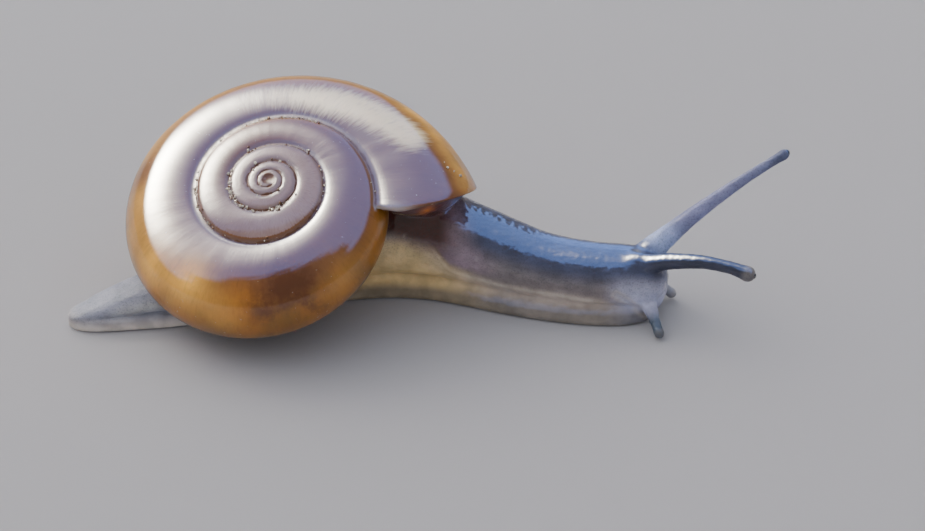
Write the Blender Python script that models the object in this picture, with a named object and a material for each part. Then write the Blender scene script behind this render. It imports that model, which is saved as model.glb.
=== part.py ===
"""A glass snail (Oxychilus draparnaudi) crawling, life size, as a still model.

Modelling frame: metres, +Z up, the floor at z = 0, the snail heading along +X with its right side
towards -Y.  Lengths are first worked out from a point on the floor straight below the apex of the
shell, and everything hangs on one empty that moves this point, so that the origin of the finished
model is under the middle of its bounding box.

The shell is a dextral coil: an elliptical tube that widens along a logarithmic spiral.  Distance
along the coil is counted in turns back from the lip, so the lip is at 0 and the apex at TURNS.
"""
import math
from collections import namedtuple

import bmesh
import bpy
from mathutils import Matrix, Vector

MM = 0.001
GAP = 0.3 * MM                       # thin cut between neighbouring parts
EYE_GAP = 0.05 * MM                  # the eye lies in a close socket
WELD = 0.001 * MM
SHARP_ANGLE = math.radians(50)        # edges sharper than this aren't shaded smooth
DOME_RINGS = (math.radians(30), math.radians(60))
BISECTIONS = 40

# --- placing --------------------------------------------------------------------------------
MIDDLE = Vector((6.311, 1.323, 0.0)) * MM    # middle of the bounding box, from below the apex
APEX_HEIGHT = 6.1 * MM
SHELL_TILT = math.radians(24.2)              # the spire leans over to the right and a little back
TILT_TOWARDS = math.radians(-105.5)

# --- shell ----------------------------------------------------------------------------------
TURNS = 4.5
STEPS = 32                           # stations in a turn
LIP_RADIUS = 8.62 * MM               # axis to the outer edge, where the steady growth meets the lip
GROWTH = 0.610                       # logarithm of the growth in one turn
GROWTH_CURVE = 0.0087                # the growth is a little faster near the apex
SWELL = 0.183                        # the last whorl is oval in plan and flares at the lip
SWELL_PHASE = -0.156
SWELL_DECAY = 1.58
WHORL_WIDTH = 0.370                  # half-width of the whorl over its outer radius
WHORL_HEIGHT = 0.877                 # height of the whorl over its width
SPIRE_DROP = 0.386                   # how far each whorl lies below the apex
SPIRE_CURVE = 1.068
SPIRE_UNIT = 5.0 * MM
COLUMELLA_BULGE = 0.15               # the inner wall reaches further in than an ellipse does
LIP_ANGLE = math.radians(-16.0)
LIP_LAG = 0.11                       # turns by which the lip lies further back at the base
LIP_LAG_FROM = math.radians(95)
LIP_LAG_OVER = math.radians(160)
LAG_FADES = 0.25                     # turns over which the stations straighten up again
LIP_THICKNESS = 0.15 * MM
MOUTH_DEPTH = 0.05                   # turns that the mouth is open behind the lip
MOUTH_OUT, MOUTH_UP = 0.45, 0.1      # mouth's middle from the section's, in its half-widths
MOUTH_STEPS = (0.0, 0.5, 1.0)        # parts of MOUTH_DEPTH where the recess has its rings
UMBILICUS_TURNS = 2.25
TOP_PARTS, SIDE_PARTS, BASE_PARTS = 6, 12, 4
COLUMELLA_PARTS = 4                  # steps of the wall's slots that the columella covers
LAST_TOP = TOP_PARTS                 # slots of the section, from top to base
FIRST_BASE = TOP_PARTS + SIDE_PARTS + 2
LAST_SLOT = FIRST_BASE + BASE_PARTS
WALL = 100                           # added to the slots of the wall in the mouth
WALL_END = FIRST_BASE - 1 - COLUMELLA_PARTS
SUTURE_REACH = {1: math.radians(100), -1: math.radians(175)}     # search on top, at the base

# --- mantle collar --------------------------------------------------------------------------
COLLAR_GAP = 0.2 * MM                # the mouth is too narrow for the full gap
COLLAR_DOME = 0.7 * MM
COLLAR_DEPTH = 0.042                 # turns that it reaches behind the lip

# --- body -----------------------------------------------------------------------------------
Station = namedtuple("Station", "x y foot body height lift")
BODY = [Station(*(length * MM for length in row)) for row in (
    # along, across, half-width of the foot and of the body, height, clearance below
    (-8.20, -1.28, 0.22, 0.16, 0.36, 0.06),
    (-7.98, -1.24, 0.50, 0.40, 0.58, 0.00),
    (-7.30, -1.10, 0.82, 0.68, 0.86, 0.00),
    (-5.80, -0.62, 1.20, 1.02, 1.36, 0.00),
    (-3.90, -0.05, 1.50, 1.35, 1.85, 0.00),
    (-1.00, 0.95, 1.75, 1.55, 2.50, 0.00),
    (2.00, 1.85, 1.80, 1.65, 3.40, 0.00),
    (4.50, 2.15, 1.75, 1.70, 4.20, 0.00),
    (6.50, 2.00, 1.75, 1.70, 4.10, 0.00),
    (8.20, 1.50, 1.72, 1.60, 3.60, 0.00),
    (9.50, 1.00, 1.68, 1.50, 3.25, 0.00),
    (11.0, 0.50, 1.62, 1.42, 2.90, 0.00),
    (12.7, 0.10, 1.55, 1.38, 2.78, 0.00),
    (14.2, -0.03, 1.45, 1.35, 2.72, 0.00),
    (15.0, -0.08, 1.15, 1.28, 2.65, 0.05),
    (15.5, -0.08, 0.85, 1.08, 2.48, 0.45),
    (15.8, -0.08, 0.50, 0.68, 2.12, 0.90),
    (15.9, -0.08, 0.20, 0.28, 1.80, 1.30),
)]
BODY_STEP = 0.6 * MM                 # spacing of the cross-sections along the body
TAIL_ROUND, HEAD_ROUND = -7.8 * MM, 14.9 * MM
NEAR = 0.05 * MM                     # how far apart the body's direction is measured
RIM_THICKNESS = 0.34 * MM            # edge of the foot
GROOVE_HEIGHT = 0.55 * MM            # groove between the foot's fringe and the flank
GROOVE_DEPTH = 0.10                  # as part of the half-width
RIM_SHARE, GROOVE_SHARE = 0.45, 0.6  # most that these take of a low section's height
RIM_PROFILE = ((0.97, 0.18), (1.0, 0.5), (0.97, 0.85))     # parts of foot and rim thickness
FOOT_FLAT, FOOT_SHOULDER = 0.86, 0.90                      # parts of the foot's half-width
BACK_WIDEST = 0.32                   # height of the widest place, between groove and back
BACK_ANGLES = tuple(math.radians(angle) for angle in (-42, -18, 5, 28, 50, 70, 90))
TAIL_CUT, NECK_CUT, HEAD_CUT = -3.6 * MM, 3.4 * MM, 12.6 * MM

# --- feelers --------------------------------------------------------------------------------
Knot = namedtuple("Knot", "x y z radius")
UPPER_RIGHT = [Knot(*(length * MM for length in row)) for row in (
    (14.75, -0.45, 2.10, 0.46),      # inside the head
    (15.60, -0.86, 2.80, 0.40),
    (16.94, -1.50, 3.22, 0.29),
    (17.90, -1.93, 3.30, 0.26),
    (18.72, -2.32, 3.22, 0.33),
)]
UPPER_LEFT = [Knot(*(length * MM for length in row)) for row in (
    (14.90, 0.48, 2.00, 0.60),
    (15.97, 0.82, 2.98, 0.45),
    (17.16, 1.20, 3.88, 0.33),
    (18.77, 1.75, 4.88, 0.26),
    (20.00, 2.15, 5.55, 0.25),
    (20.50, 2.32, 5.80, 0.28),
)]
LOWER_RIGHT = [Knot(*(length * MM for length in row)) for row in (
    (14.90, -0.75, 1.20, 0.30),
    (15.14, -1.35, 0.82, 0.27),
    (15.33, -1.90, 0.47, 0.25),
    (15.45, -2.25, 0.28, 0.25),
)]
LOWER_LEFT = [Knot(*(length * MM for length in row)) for row in (
    (15.10, 0.45, 1.15, 0.30),
    (15.60, 0.58, 0.75, 0.27),
    (16.00, 0.52, 0.42, 0.25),
    (16.15, 0.46, 0.31, 0.25),
)]
FEELER_STEP = 0.3 * MM
FEELER_SIDES = 12
FEELER_CUT = 0.45                    # where an upper feeler is parted, along its length
TIP_RINGS = (math.radians(30), math.radians(58), math.radians(80))
EYE_RADIUS = 0.15 * MM
EYE_RINGS = 8
EYE_FORWARD = 0.8                    # eye's middle, in tip radii ahead of the tip's round end


def new_collection(name):
    """Make an empty collection in the scene."""
    collection = bpy.data.collections.new(name)
    bpy.context.scene.collection.children.link(collection)
    return collection


def new_material(name, colour, roughness):
    """Make a Principled material of one colour."""
    material = bpy.data.materials.new(name)
    material.use_nodes = True
    shader = material.node_tree.nodes["Principled BSDF"]
    shader.inputs["Base Color"].default_value = (*colour, 1.0)
    shader.inputs["Roughness"].default_value = roughness
    shader.inputs["Metallic"].default_value = 0.0
    return material


def add_object(name, bm, collection, material=None):
    """Turn a bmesh into an object with its faces pointing out and smooth shading, and hang it on
    the snail's empty."""
    bmesh.ops.remove_doubles(bm, verts=bm.verts, dist=WELD)
    bmesh.ops.recalc_face_normals(bm, faces=bm.faces)
    mesh = bpy.data.meshes.new(name)
    bm.to_mesh(mesh)
    bm.free()
    mesh.shade_smooth()
    mesh.set_sharp_from_angle(angle=SHARP_ANGLE)
    obj = bpy.data.objects.new(name, mesh)
    collection.objects.link(obj)
    obj.parent = bpy.data.objects["snail"]
    if material:
        mesh.materials.append(material)
    return obj


def fresh_edges(geometry):
    """Keep the edges of an extrusion's new front, both ends of which are new."""
    verts = {item for item in geometry if isinstance(item, bmesh.types.BMVert)}
    return [item for item in geometry
            if isinstance(item, bmesh.types.BMEdge) and set(item.verts) <= verts]


def extrude_to(bm, edges, slot, place):
    """Extrude a chain of edges and put each new vertex where its slot number says."""
    geometry = bmesh.ops.extrude_edge_only(bm, edges=edges)["geom"]
    for vert in (item for item in geometry if isinstance(item, bmesh.types.BMVert)):
        vert.co = place(vert[slot])
    return fresh_edges(geometry)


def chain(bm, slot, places, closed=False):
    """Join places by edges, in a chain or a loop, and number its vertices."""
    verts = [bm.verts.new(place) for place in places]
    for number, vert in enumerate(verts):
        vert[slot] = number
    ends = verts[1:] + verts[:1] if closed else verts[1:]
    return verts, [bm.edges.new(pair) for pair in zip(verts, ends)]


def dome(bm, edges, middle, normal, height):
    """Close a loop with a low dome round a middle."""
    width, rise = 1.0, 0.0
    for angle in DOME_RINGS:
        geometry = bmesh.ops.extrude_edge_only(bm, edges=edges)["geom"]
        edges = fresh_edges(geometry)
        for vert in {vert for edge in edges for vert in edge.verts}:
            spoke = (vert.co - normal * rise - middle) / width
            vert.co = middle + spoke * math.cos(angle) + normal * height * math.sin(angle)
        width, rise = math.cos(angle), height * math.sin(angle)
    cap = bmesh.ops.contextual_create(bm, geom=edges)["faces"]
    for vert in bmesh.ops.poke(bm, faces=cap)["verts"]:
        vert.co = middle + normal * height


def fill_open_loops(bm):
    """Close every open loop with one face."""
    rim = [edge for edge in bm.edges if edge.is_boundary]
    bmesh.ops.holes_fill(bm, edges=rim, sides=0)


# --- shell ----------------------------------------------------------------------------------
def whorl(n):
    """Half-width, half-height and middle (radius, height) of the whorl n turns back."""
    swell = SWELL * math.sin(2 * math.pi * n + SWELL_PHASE) * math.exp(-SWELL_DECAY * n)
    radius = LIP_RADIUS * math.exp(-GROWTH * n - GROWTH_CURVE * n * n - swell)
    width = WHORL_WIDTH * radius
    drop = SPIRE_DROP * radius ** SPIRE_CURVE * SPIRE_UNIT ** (1 - SPIRE_CURVE)
    return width, WHORL_HEIGHT * width, radius - width, -drop


def bulge(angle):
    """Radius of the whorl's section over that of an ellipse."""
    inner = min(0.0, math.cos(angle))
    return 1 + COLUMELLA_BULGE * inner * inner


def on_whorl(n, angle, grow=0.0):
    """Radius and height of a point of the whorl's section, 0 degrees being outermost."""
    width, height, middle, level = whorl(n)
    far = bulge(angle)
    return (middle + (width + grow) * far * math.cos(angle),
            level + (height + grow) * far * math.sin(angle))


def angle_on_whorl(n, radius, level, grow=0.0):
    """Angle at which a point lies on the whorl's section, from -270 to 90 degrees, and its
    distance from the middle in units of the section's radius there."""
    width, height, middle, base = whorl(n)
    across, up = (radius - middle) / (width + grow), (level - base) / (height + grow)
    angle = math.atan2(up, across)
    return angle, math.hypot(across, up) / bulge(angle)


def suture(n, side, grow=0.0):
    """Angle on the next inner whorl where whorl n meets it; side is 1 on top, -1 at the base."""
    inside, outside = 0.0, side * SUTURE_REACH[side]
    for _ in range(BISECTIONS):
        middle = (inside + outside) / 2
        if angle_on_whorl(n, *on_whorl(n + 1, middle, grow), grow)[1] < 1:
            inside = middle
        else:
            outside = middle
    return inside


def section_limits(n, grow=0.0):
    """Angles of the four sutures of the section: inner top, outer top, outer base, inner base."""
    outer = max(n, 1.0) - 1
    top, base = suture(outer, 1, grow), suture(outer, -1, grow)
    inner_top = angle_on_whorl(n, *on_whorl(n + 1, suture(n, 1, grow), grow), grow)[0]
    inner_base = angle_on_whorl(n, *on_whorl(n + 1, suture(n, -1, grow), grow), grow)[0]
    if inner_base > 0:
        inner_base -= 2 * math.pi
    return inner_top, top, base, inner_base


def lip_lag(angle):
    """Turns by which the lip lies back at this angle of its section."""
    return LIP_LAG * min(1.0, max(0.0, (LIP_LAG_FROM - angle) / LIP_LAG_OVER))


def slot_angle(n, number, grow=0.0):
    """Angle of a numbered slot of the section."""
    inner_top, top, base, inner_base = section_limits(n, grow)
    corner = LIP_THICKNESS / whorl(1.0)[0]
    if number <= LAST_TOP:
        return inner_top + (top - inner_top) * number / TOP_PARTS
    if number >= FIRST_BASE:
        return base + (inner_base - base) * (number - FIRST_BASE) / BASE_PARTS
    along = (number - LAST_TOP - 1) / SIDE_PARTS
    return top - corner + (base - top + 2 * corner) * along


def station_lag(n, number):
    """Turns by which a slot of station n lies back, so that the stations follow the lip."""
    if n < LAG_FADES:
        return lip_lag(slot_angle(n, number)) * (1 - n / LAG_FADES)
    fade = max(0.0, 1 - abs(n - 1) / LAG_FADES)
    if number <= LAST_TOP:
        return 0.0
    if number >= FIRST_BASE:
        return LIP_LAG * fade * (1 - (number - FIRST_BASE) / BASE_PARTS)
    return LIP_LAG * fade * (number - LAST_TOP) / (FIRST_BASE - LAST_TOP)


def on_coil(n, radius, level):
    """Place of a point of the section n turns back, in the shell's own frame."""
    turn = LIP_ANGLE + 2 * math.pi * n
    return Vector((radius * math.cos(turn), radius * math.sin(turn), level))


def surface_point(station, number, deeper=0.0, grow=0.0):
    """Place of a slot of a station on the shell's surface."""
    n = station + station_lag(station, number) + deeper
    return on_coil(n, *on_whorl(n, slot_angle(n, number, grow), grow))


def whorl_strips(bm, slot, grow):
    """Extrude the section along the coil, leaving out what the next whorl hides, and return the
    vertices of the lip and of the wall opposite it."""
    places = [surface_point(0.0, number, grow=grow) for number in range(LAST_SLOT + 1)]
    lip, edges = chain(bm, slot, places)
    for step in range(1, round(TURNS * STEPS) + 1):
        station = step / STEPS
        edges = extrude_to(bm, edges, slot, lambda number: surface_point(station, number, grow=grow))
        if step == STEPS:
            side = [edge for edge in edges
                    if all(LAST_TOP <= vert[slot] <= FIRST_BASE for vert in edge.verts)]
            edges = [edge for edge in edges if edge not in side]
            wall = sorted({vert for edge in side for vert in edge.verts}, key=lambda v: v[slot])
        if step == round(UMBILICUS_TURNS * STEPS):
            edges = [edge for edge in edges if all(v[slot] <= LAST_TOP for v in edge.verts)]
    return lip, wall


def mouth_edges(bm, slot, lip, wall):
    """Join the lip to the wall, close the mouth's inner end with the columella, and return the
    edges round the mouth."""
    wall_of = {vert[slot]: vert for vert in wall}
    bmesh.ops.weld_verts(bm, targetmap={wall_of[LAST_TOP]: lip[0], wall_of[FIRST_BASE]: lip[-1]})
    for number in range(LAST_TOP + 1, FIRST_BASE):
        wall_of[number][slot] = WALL + number
    columella = lip[FIRST_BASE:] + [wall_of[n] for n in range(FIRST_BASE - 1, WALL_END - 1, -1)]
    bm.faces.new(columella)
    ring = lip[:FIRST_BASE + 1] + [wall_of[n] for n in range(WALL_END, LAST_TOP, -1)]
    return [bm.edges.get(pair) for pair in zip(ring, ring[1:] + ring[:1])]


def inside_mouth(number, deeper):
    """Place of a slot of the mouth's edge on the inside of the shell's thickness."""
    if number == 0:
        return surface_point(1.0, LAST_TOP + 1, deeper)
    if number >= WALL:
        return surface_point(1.0, number - WALL, deeper)
    return surface_point(0.0, number, deeper, -LIP_THICKNESS)


def mouth_middle():
    """A point in the mouth's opening from which all of its edge is seen, and the way out."""
    n = LIP_LAG / 2
    width, height, middle, level = whorl(n)
    turn = LIP_ANGLE + 2 * math.pi * n
    return (on_coil(n, middle + MOUTH_OUT * width, level + MOUTH_UP * height),
            Vector((math.sin(turn), -math.cos(turn), 0)))


def shell_frame():
    """Placing of the shell: the apex at its height and the spire leaning over."""
    towards = Vector((math.cos(TILT_TOWARDS), math.sin(TILT_TOWARDS), 0))
    lean = Matrix.Rotation(SHELL_TILT, 4, Vector((0, 0, 1)).cross(towards))
    return Matrix.Translation((0, 0, APEX_HEIGHT)) @ lean


def shell_body(name, collection, material=None, grow=0.0):
    """The whole shell; a grown one is a cutter, with a dome over its mouth."""
    bm = bmesh.new()
    slot = bm.verts.layers.int.new("slot")
    lip, wall = whorl_strips(bm, slot, grow)
    rim = mouth_edges(bm, slot, lip, wall)
    if grow:
        dome(bm, rim, *mouth_middle(), COLLAR_DOME + grow)
    else:
        for part in MOUTH_STEPS:
            rim = extrude_to(bm, rim, slot, lambda number: inside_mouth(number, part * MOUTH_DEPTH))
    bmesh.ops.remove_doubles(bm, verts=bm.verts, dist=WELD)
    fill_open_loops(bm)
    obj = add_object(name, bm, collection, material)
    obj.matrix_basis = shell_frame()
    return obj


# --- mantle collar --------------------------------------------------------------------------
def collar_loop(deeper):
    """Places round the mouth, a gap inside the lip and the wall opposite it."""
    inset = LIP_THICKNESS + COLLAR_GAP
    lip = [surface_point(0.0, number, deeper, -inset) for number in range(1, FIRST_BASE)]
    wall = [surface_point(1.0, number, deeper, COLLAR_GAP)
            for number in range(WALL_END, LAST_TOP + 1, -1)]
    return lip + wall


def collar_body(name, collection, material):
    """The fleshy plug that fills the mouth of the shell."""
    bm = bmesh.new()
    slot = bm.verts.layers.int.new("slot")
    _, edges = chain(bm, slot, collar_loop(COLLAR_DEPTH), closed=True)
    for deeper in (COLLAR_DEPTH / 2, 0.0):
        loop = collar_loop(deeper)
        edges = extrude_to(bm, edges, slot, lambda number: loop[number])
    dome(bm, edges, *mouth_middle(), COLLAR_DOME)
    fill_open_loops(bm)
    obj = add_object(name, bm, collection, material)
    obj.matrix_basis = shell_frame()
    return obj


# --- body -----------------------------------------------------------------------------------
def between(x):
    """Station of the body at a place along it, read from a smooth curve through BODY."""
    index = next((i for i, after in enumerate(BODY[1:]) if x <= after.x), len(BODY) - 2)
    start, end = BODY[index], BODY[index + 1]
    width = end.x - start.x
    part = min(1.0, max(0.0, (x - start.x) / width))

    def slope(i, field):
        before, after = BODY[max(i - 1, 0)], BODY[min(i + 1, len(BODY) - 1)]
        return (getattr(after, field) - getattr(before, field)) / (after.x - before.x)

    def value(field):
        rise = (getattr(end, field) - getattr(start, field)) * part * part * (3 - 2 * part)
        leave = slope(index, field) * width * part * (1 - part) ** 2
        arrive = slope(index + 1, field) * width * part * part * (1 - part)
        return getattr(start, field) + rise + leave - arrive

    lift = max(0.0, value("lift"))
    return Station(x, value("y"), value("foot"), value("body"), value("height"), lift)


def half_section(foot, body, height):
    """Points up one side of a cross-section, from under the middle to the top of the back."""
    rim = min(RIM_THICKNESS, RIM_SHARE * height)
    groove = min(GROOVE_HEIGHT, GROOVE_SHARE * height)
    points = [(0.0, 0.0), (foot / 2, 0.0), (FOOT_FLAT * foot, 0.0)]
    points += [(out * foot, up * rim) for out, up in RIM_PROFILE]
    points += [(FOOT_SHOULDER * foot, (rim + groove) / 2),
               (min(body, foot) * (1 - GROOVE_DEPTH), groove)]
    middle = groove + BACK_WIDEST * (height - groove)
    for angle in BACK_ANGLES:
        depth = height - middle if angle > 0 else middle - groove
        points.append((body * math.cos(angle), middle + depth * math.sin(angle)))
    return points


def body_ring(x, grow=0.0):
    """Places round the body at one place along it."""
    here, ahead, behind = between(x), between(x + NEAR), between(x - NEAR)
    along = Vector((ahead.x - behind.x, ahead.y - behind.y, 0)).normalized()
    side = Vector((along.y, -along.x, 0))                 # to the snail's right
    half = half_section(here.foot, here.body, here.height)
    outline = half + [(-across, up) for across, up in half[-2:0:-1]]
    squeeze = (here.height - here.lift) / here.height
    middle = Vector((0.0, here.height / 2))
    places = []
    for point in outline:
        out = Vector(point) - middle
        across, up = middle + out * (1 + grow / out.length)
        places.append(Vector((x, here.y, here.lift + up * squeeze)) + side * across)
    return places


def body_places():
    """Places along the body where its sections lie, closer at the two round ends."""
    first, last = BODY[0].x, BODY[-1].x
    count = math.ceil((last - first) / BODY_STEP)
    places = [first + (last - first) * number / count for number in range(count + 1)]
    ends = [x for x in (station.x for station in BODY) if x < TAIL_ROUND or x > HEAD_ROUND]
    middle = [x for x in places if TAIL_ROUND < x < HEAD_ROUND]
    between_ends = [(one + two) / 2 for one, two in zip(ends, ends[1:]) if two - one < BODY_STEP]
    return sorted(ends + between_ends + middle)


def flesh(grow=0.0):
    """The foot, body, neck and head in one piece, before they are parted."""
    bm = bmesh.new()
    slot = bm.verts.layers.int.new("slot")
    places = body_places()
    ring = body_ring(places[0], grow)
    _, edges = chain(bm, slot, ring, closed=True)
    for x in places[1:]:
        ring = body_ring(x, grow)
        edges = extrude_to(bm, edges, slot, lambda number: ring[number])
    fill_open_loops(bm)
    bmesh.ops.recalc_face_normals(bm, faces=bm.faces)
    return bm


def clear_of(obj, cutters):
    """Cut an object clear of its neighbours."""
    for cutter in cutters:
        cut = obj.modifiers.new(cutter.name, "BOOLEAN")
        cut.operation, cut.object, cut.solver = "DIFFERENCE", cutter, "EXACT"


def keep_side(bm, place, normal):
    """Cut away what lies on the far side of a plane, and close the cut."""
    geometry = list(bm.verts) + list(bm.edges) + list(bm.faces)
    bmesh.ops.bisect_plane(bm, geom=geometry, dist=1e-8, plane_co=place, plane_no=normal,
                           clear_outer=True)
    fill_open_loops(bm)


def body_part(name, collection, material, cutters=(), start=None, end=None, bottom=None, top=None):
    """One length of the body between cuts across it and at a height, clear of the cutters."""
    bm = flesh()
    for limit, axis, sign in ((start, 0, -1), (end, 0, 1), (bottom, 2, -1), (top, 2, 1)):
        if limit is not None:
            normal = Vector((0, 0, 0))
            normal[axis] = sign
            keep_side(bm, -normal * GAP / 2 + Vector([limit if i == axis else 0 for i in range(3)]),
                      normal)
    obj = add_object(name, bm, collection, material)
    clear_of(obj, cutters)
    return obj


def body_parts(parts, cutters, skin, sole):
    """The foot, tail, back, neck and head."""
    groove = GROOVE_HEIGHT
    body_part("tail", parts, skin, cutters, end=TAIL_CUT)
    body_part("foot_rear", parts, sole, cutters, start=TAIL_CUT, end=NECK_CUT, top=groove)
    body_part("foot_front", parts, sole, (), start=NECK_CUT, top=groove)
    body_part("back", parts, skin, cutters, start=TAIL_CUT, end=NECK_CUT, bottom=groove)
    body_part("neck", parts, skin, cutters, start=NECK_CUT, end=HEAD_CUT, bottom=groove)
    body_part("head", parts, skin, (), start=HEAD_CUT, bottom=groove)


# --- feelers --------------------------------------------------------------------------------
def feeler_curve(knots):
    """Places and radii along a feeler, on a smooth curve through its knots, with a round tip."""
    points = [Vector(knot) for knot in knots]
    points = [points[0] * 2 - points[1]] + points + [points[-1] * 2 - points[-2]]
    rows = []
    for before, start, end, after in zip(points, points[1:], points[2:], points[3:]):
        steps = max(1, round((end - start).length / FEELER_STEP))
        for step in range(steps):
            t = step / steps
            rows.append(0.5 * (2 * start + (end - before) * t
                               + (2 * before - 5 * start + 4 * end - after) * t * t
                               + (3 * start - before - 3 * end + after) * t ** 3))
    rows.append(points[-2])
    along = (rows[-1] - rows[-2]).to_3d().normalized()
    end_place, radius = rows[-1].to_3d(), rows[-1].w
    for angle in TIP_RINGS:
        rows.append((end_place + along * radius * math.sin(angle)).to_4d())
        rows[-1].w = radius * math.cos(angle)
    return rows


def feeler(name, knots, collection, material, cutters=(), start=0.0, end=1.0):
    """A feeler, or one length of it, as a tapering round tube."""
    rows = feeler_curve(knots)
    places = [row.to_3d() for row in rows]
    bm = bmesh.new()
    slot = bm.verts.layers.int.new("slot")
    edges = None
    for index, row in enumerate(rows):
        before, after = places[max(index - 1, 0)], places[min(index + 1, len(places) - 1)]
        along = (after - before).normalized()
        across = along.cross(Vector((0, 0, 1))).normalized()
        over = across.cross(along)
        ring = []
        for side in range(FEELER_SIDES):
            angle = 2 * math.pi * side / FEELER_SIDES
            out = across * math.cos(angle) + over * math.sin(angle)
            ring.append(places[index] + out * row.w)
        if edges is None:
            _, edges = chain(bm, slot, ring, closed=True)
        else:
            edges = extrude_to(bm, edges, slot, lambda number: ring[number])
    fill_open_loops(bm)
    length = len(knots) - 1
    for part, sign in ((start, -1), (end, 1)):
        if 0.0 < part < 1.0:
            index = round(part * (len(rows) - 1 - len(TIP_RINGS)))
            normal = (places[index + 1] - places[index - 1]).normalized() * sign
            keep_side(bm, places[index] - normal * GAP / 2, normal)
    obj = add_object(name, bm, collection, material)
    clear_of(obj, cutters)
    return obj


def tip_of(knots, ahead):
    """Place in front of the middle of a feeler's round end, in radii of the end."""
    end, before = Vector(knots[-1]), Vector(knots[-2])
    return end.to_3d() + (end - before).to_3d().normalized() * ahead * knots[-1].radius


def ball(name, place, radius, collection, material=None):
    """A small sphere."""
    bm = bmesh.new()
    bmesh.ops.create_uvsphere(bm, u_segments=FEELER_SIDES, v_segments=EYE_RINGS, radius=radius)
    obj = add_object(name, bm, collection, material)
    obj.location = place
    return obj


def feelers(parts, spare, skin, black):
    """Two upper feelers with an eye at each tip, and two short lower ones."""
    bm = flesh(GAP)
    clear_head = make_cutter(add_object("clear_of_head", bm, spare))
    for side, knots in (("right", UPPER_RIGHT), ("left", UPPER_LEFT)):
        place = tip_of(knots, EYE_FORWARD)
        ball("eye_" + side, place, EYE_RADIUS, parts, black)
        socket = make_cutter(ball("socket_" + side, place, EYE_RADIUS + EYE_GAP, spare))
        feeler("upper_feeler_base_" + side, knots, parts, skin, (clear_head,), end=FEELER_CUT)
        feeler("upper_feeler_tip_" + side, knots, parts, skin, (socket,), start=FEELER_CUT)
    for side, knots in (("right", LOWER_RIGHT), ("left", LOWER_LEFT)):
        feeler("lower_feeler_" + side, knots, parts, skin, (clear_head,))


def make_cutter(obj):
    """Show a cutter as wires and keep it out of renders."""
    obj.hide_render = True
    obj.display_type = "WIRE"
    return obj


def main():
    for old in list(bpy.data.objects):
        bpy.data.objects.remove(old)
    parts = new_collection("glass_snail")
    spare = new_collection("cutters")
    root = bpy.data.objects.new("snail", None)
    root.location = -MIDDLE
    parts.objects.link(root)

    amber = new_material("amber shell", (0.45, 0.20, 0.03), 0.15)
    skin = new_material("slate skin", (0.16, 0.19, 0.30), 0.35)
    sole = new_material("pale foot", (0.42, 0.38, 0.33), 0.40)
    mantle = new_material("brown mantle", (0.10, 0.045, 0.02), 0.40)

    shell_body("shell", parts, amber)
    collar_body("mantle_collar", parts, mantle)
    clear_shell = make_cutter(shell_body("clear_of_shell", spare, grow=GAP))
    body_parts(parts, (clear_shell,), skin, sole)
    feelers(parts, spare, skin, new_material("black eye", (0.01, 0.01, 0.012), 0.2))


main()
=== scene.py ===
"""A crawling glass snail, life size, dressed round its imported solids.

The form is worked out in millimetres from a point on the floor straight below the apex of the
shell, with the snail heading along +X and its right side towards -Y, and is then moved into the
row frame.  The shell is a dextral coil: an elliptical tube that widens along a logarithmic spiral,
with its distance counted in turns back from the lip.
"""
import logging
import math
from dataclasses import dataclass, field
from enum import Enum
from typing import Callable, Iterable, NamedTuple, Sequence

import bmesh
import bpy
import numpy as np
from mathutils import Euler, Matrix, Vector, noise
from mathutils.bvhtree import BVHTree


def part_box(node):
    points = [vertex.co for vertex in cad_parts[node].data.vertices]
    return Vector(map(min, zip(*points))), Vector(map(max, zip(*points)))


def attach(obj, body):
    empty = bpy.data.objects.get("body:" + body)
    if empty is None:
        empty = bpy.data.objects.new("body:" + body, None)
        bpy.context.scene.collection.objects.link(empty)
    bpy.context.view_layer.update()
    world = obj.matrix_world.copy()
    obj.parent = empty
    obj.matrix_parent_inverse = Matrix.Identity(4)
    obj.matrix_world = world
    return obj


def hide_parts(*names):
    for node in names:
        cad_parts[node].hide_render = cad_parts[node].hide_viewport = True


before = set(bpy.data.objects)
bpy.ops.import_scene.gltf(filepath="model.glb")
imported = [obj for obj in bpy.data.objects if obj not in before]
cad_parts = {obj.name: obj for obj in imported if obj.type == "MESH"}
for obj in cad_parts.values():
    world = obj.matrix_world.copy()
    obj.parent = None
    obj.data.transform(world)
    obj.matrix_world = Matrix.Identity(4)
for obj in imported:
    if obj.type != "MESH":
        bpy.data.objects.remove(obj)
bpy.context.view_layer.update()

MM = 0.001
SLIVER = 0.004                       # mm, below which a cut's edges are merged
WELD = 0.0008                        # mm, under which neighbouring vertices are one
FROM_APEX = np.array([-6.311, -1.323, 0.0])      # mm, floor point below the apex, in the row frame
LOG = logging.getLogger("glass_snail")


# --- small tools ----------------------------------------------------------------------------
def smooth_step(low: float, high: float, value: np.ndarray) -> np.ndarray:
    """Rise softly from 0 at low to 1 at high.

    Args:
        low: where the rise begins.
        high: where it ends; lower than low for a fall.
        value: the values to read.

    Returns:
        The share, from 0 to 1, for each value.
    """
    part = np.clip((value - low) / (high - low), 0.0, 1.0)
    return part * part * (3 - 2 * part)


def hump(value: np.ndarray, middle: float, width: float) -> np.ndarray:
    """A soft hump that is 1 at its middle and fades over its width."""
    return np.exp(-((value - middle) / width) ** 2)


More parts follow.
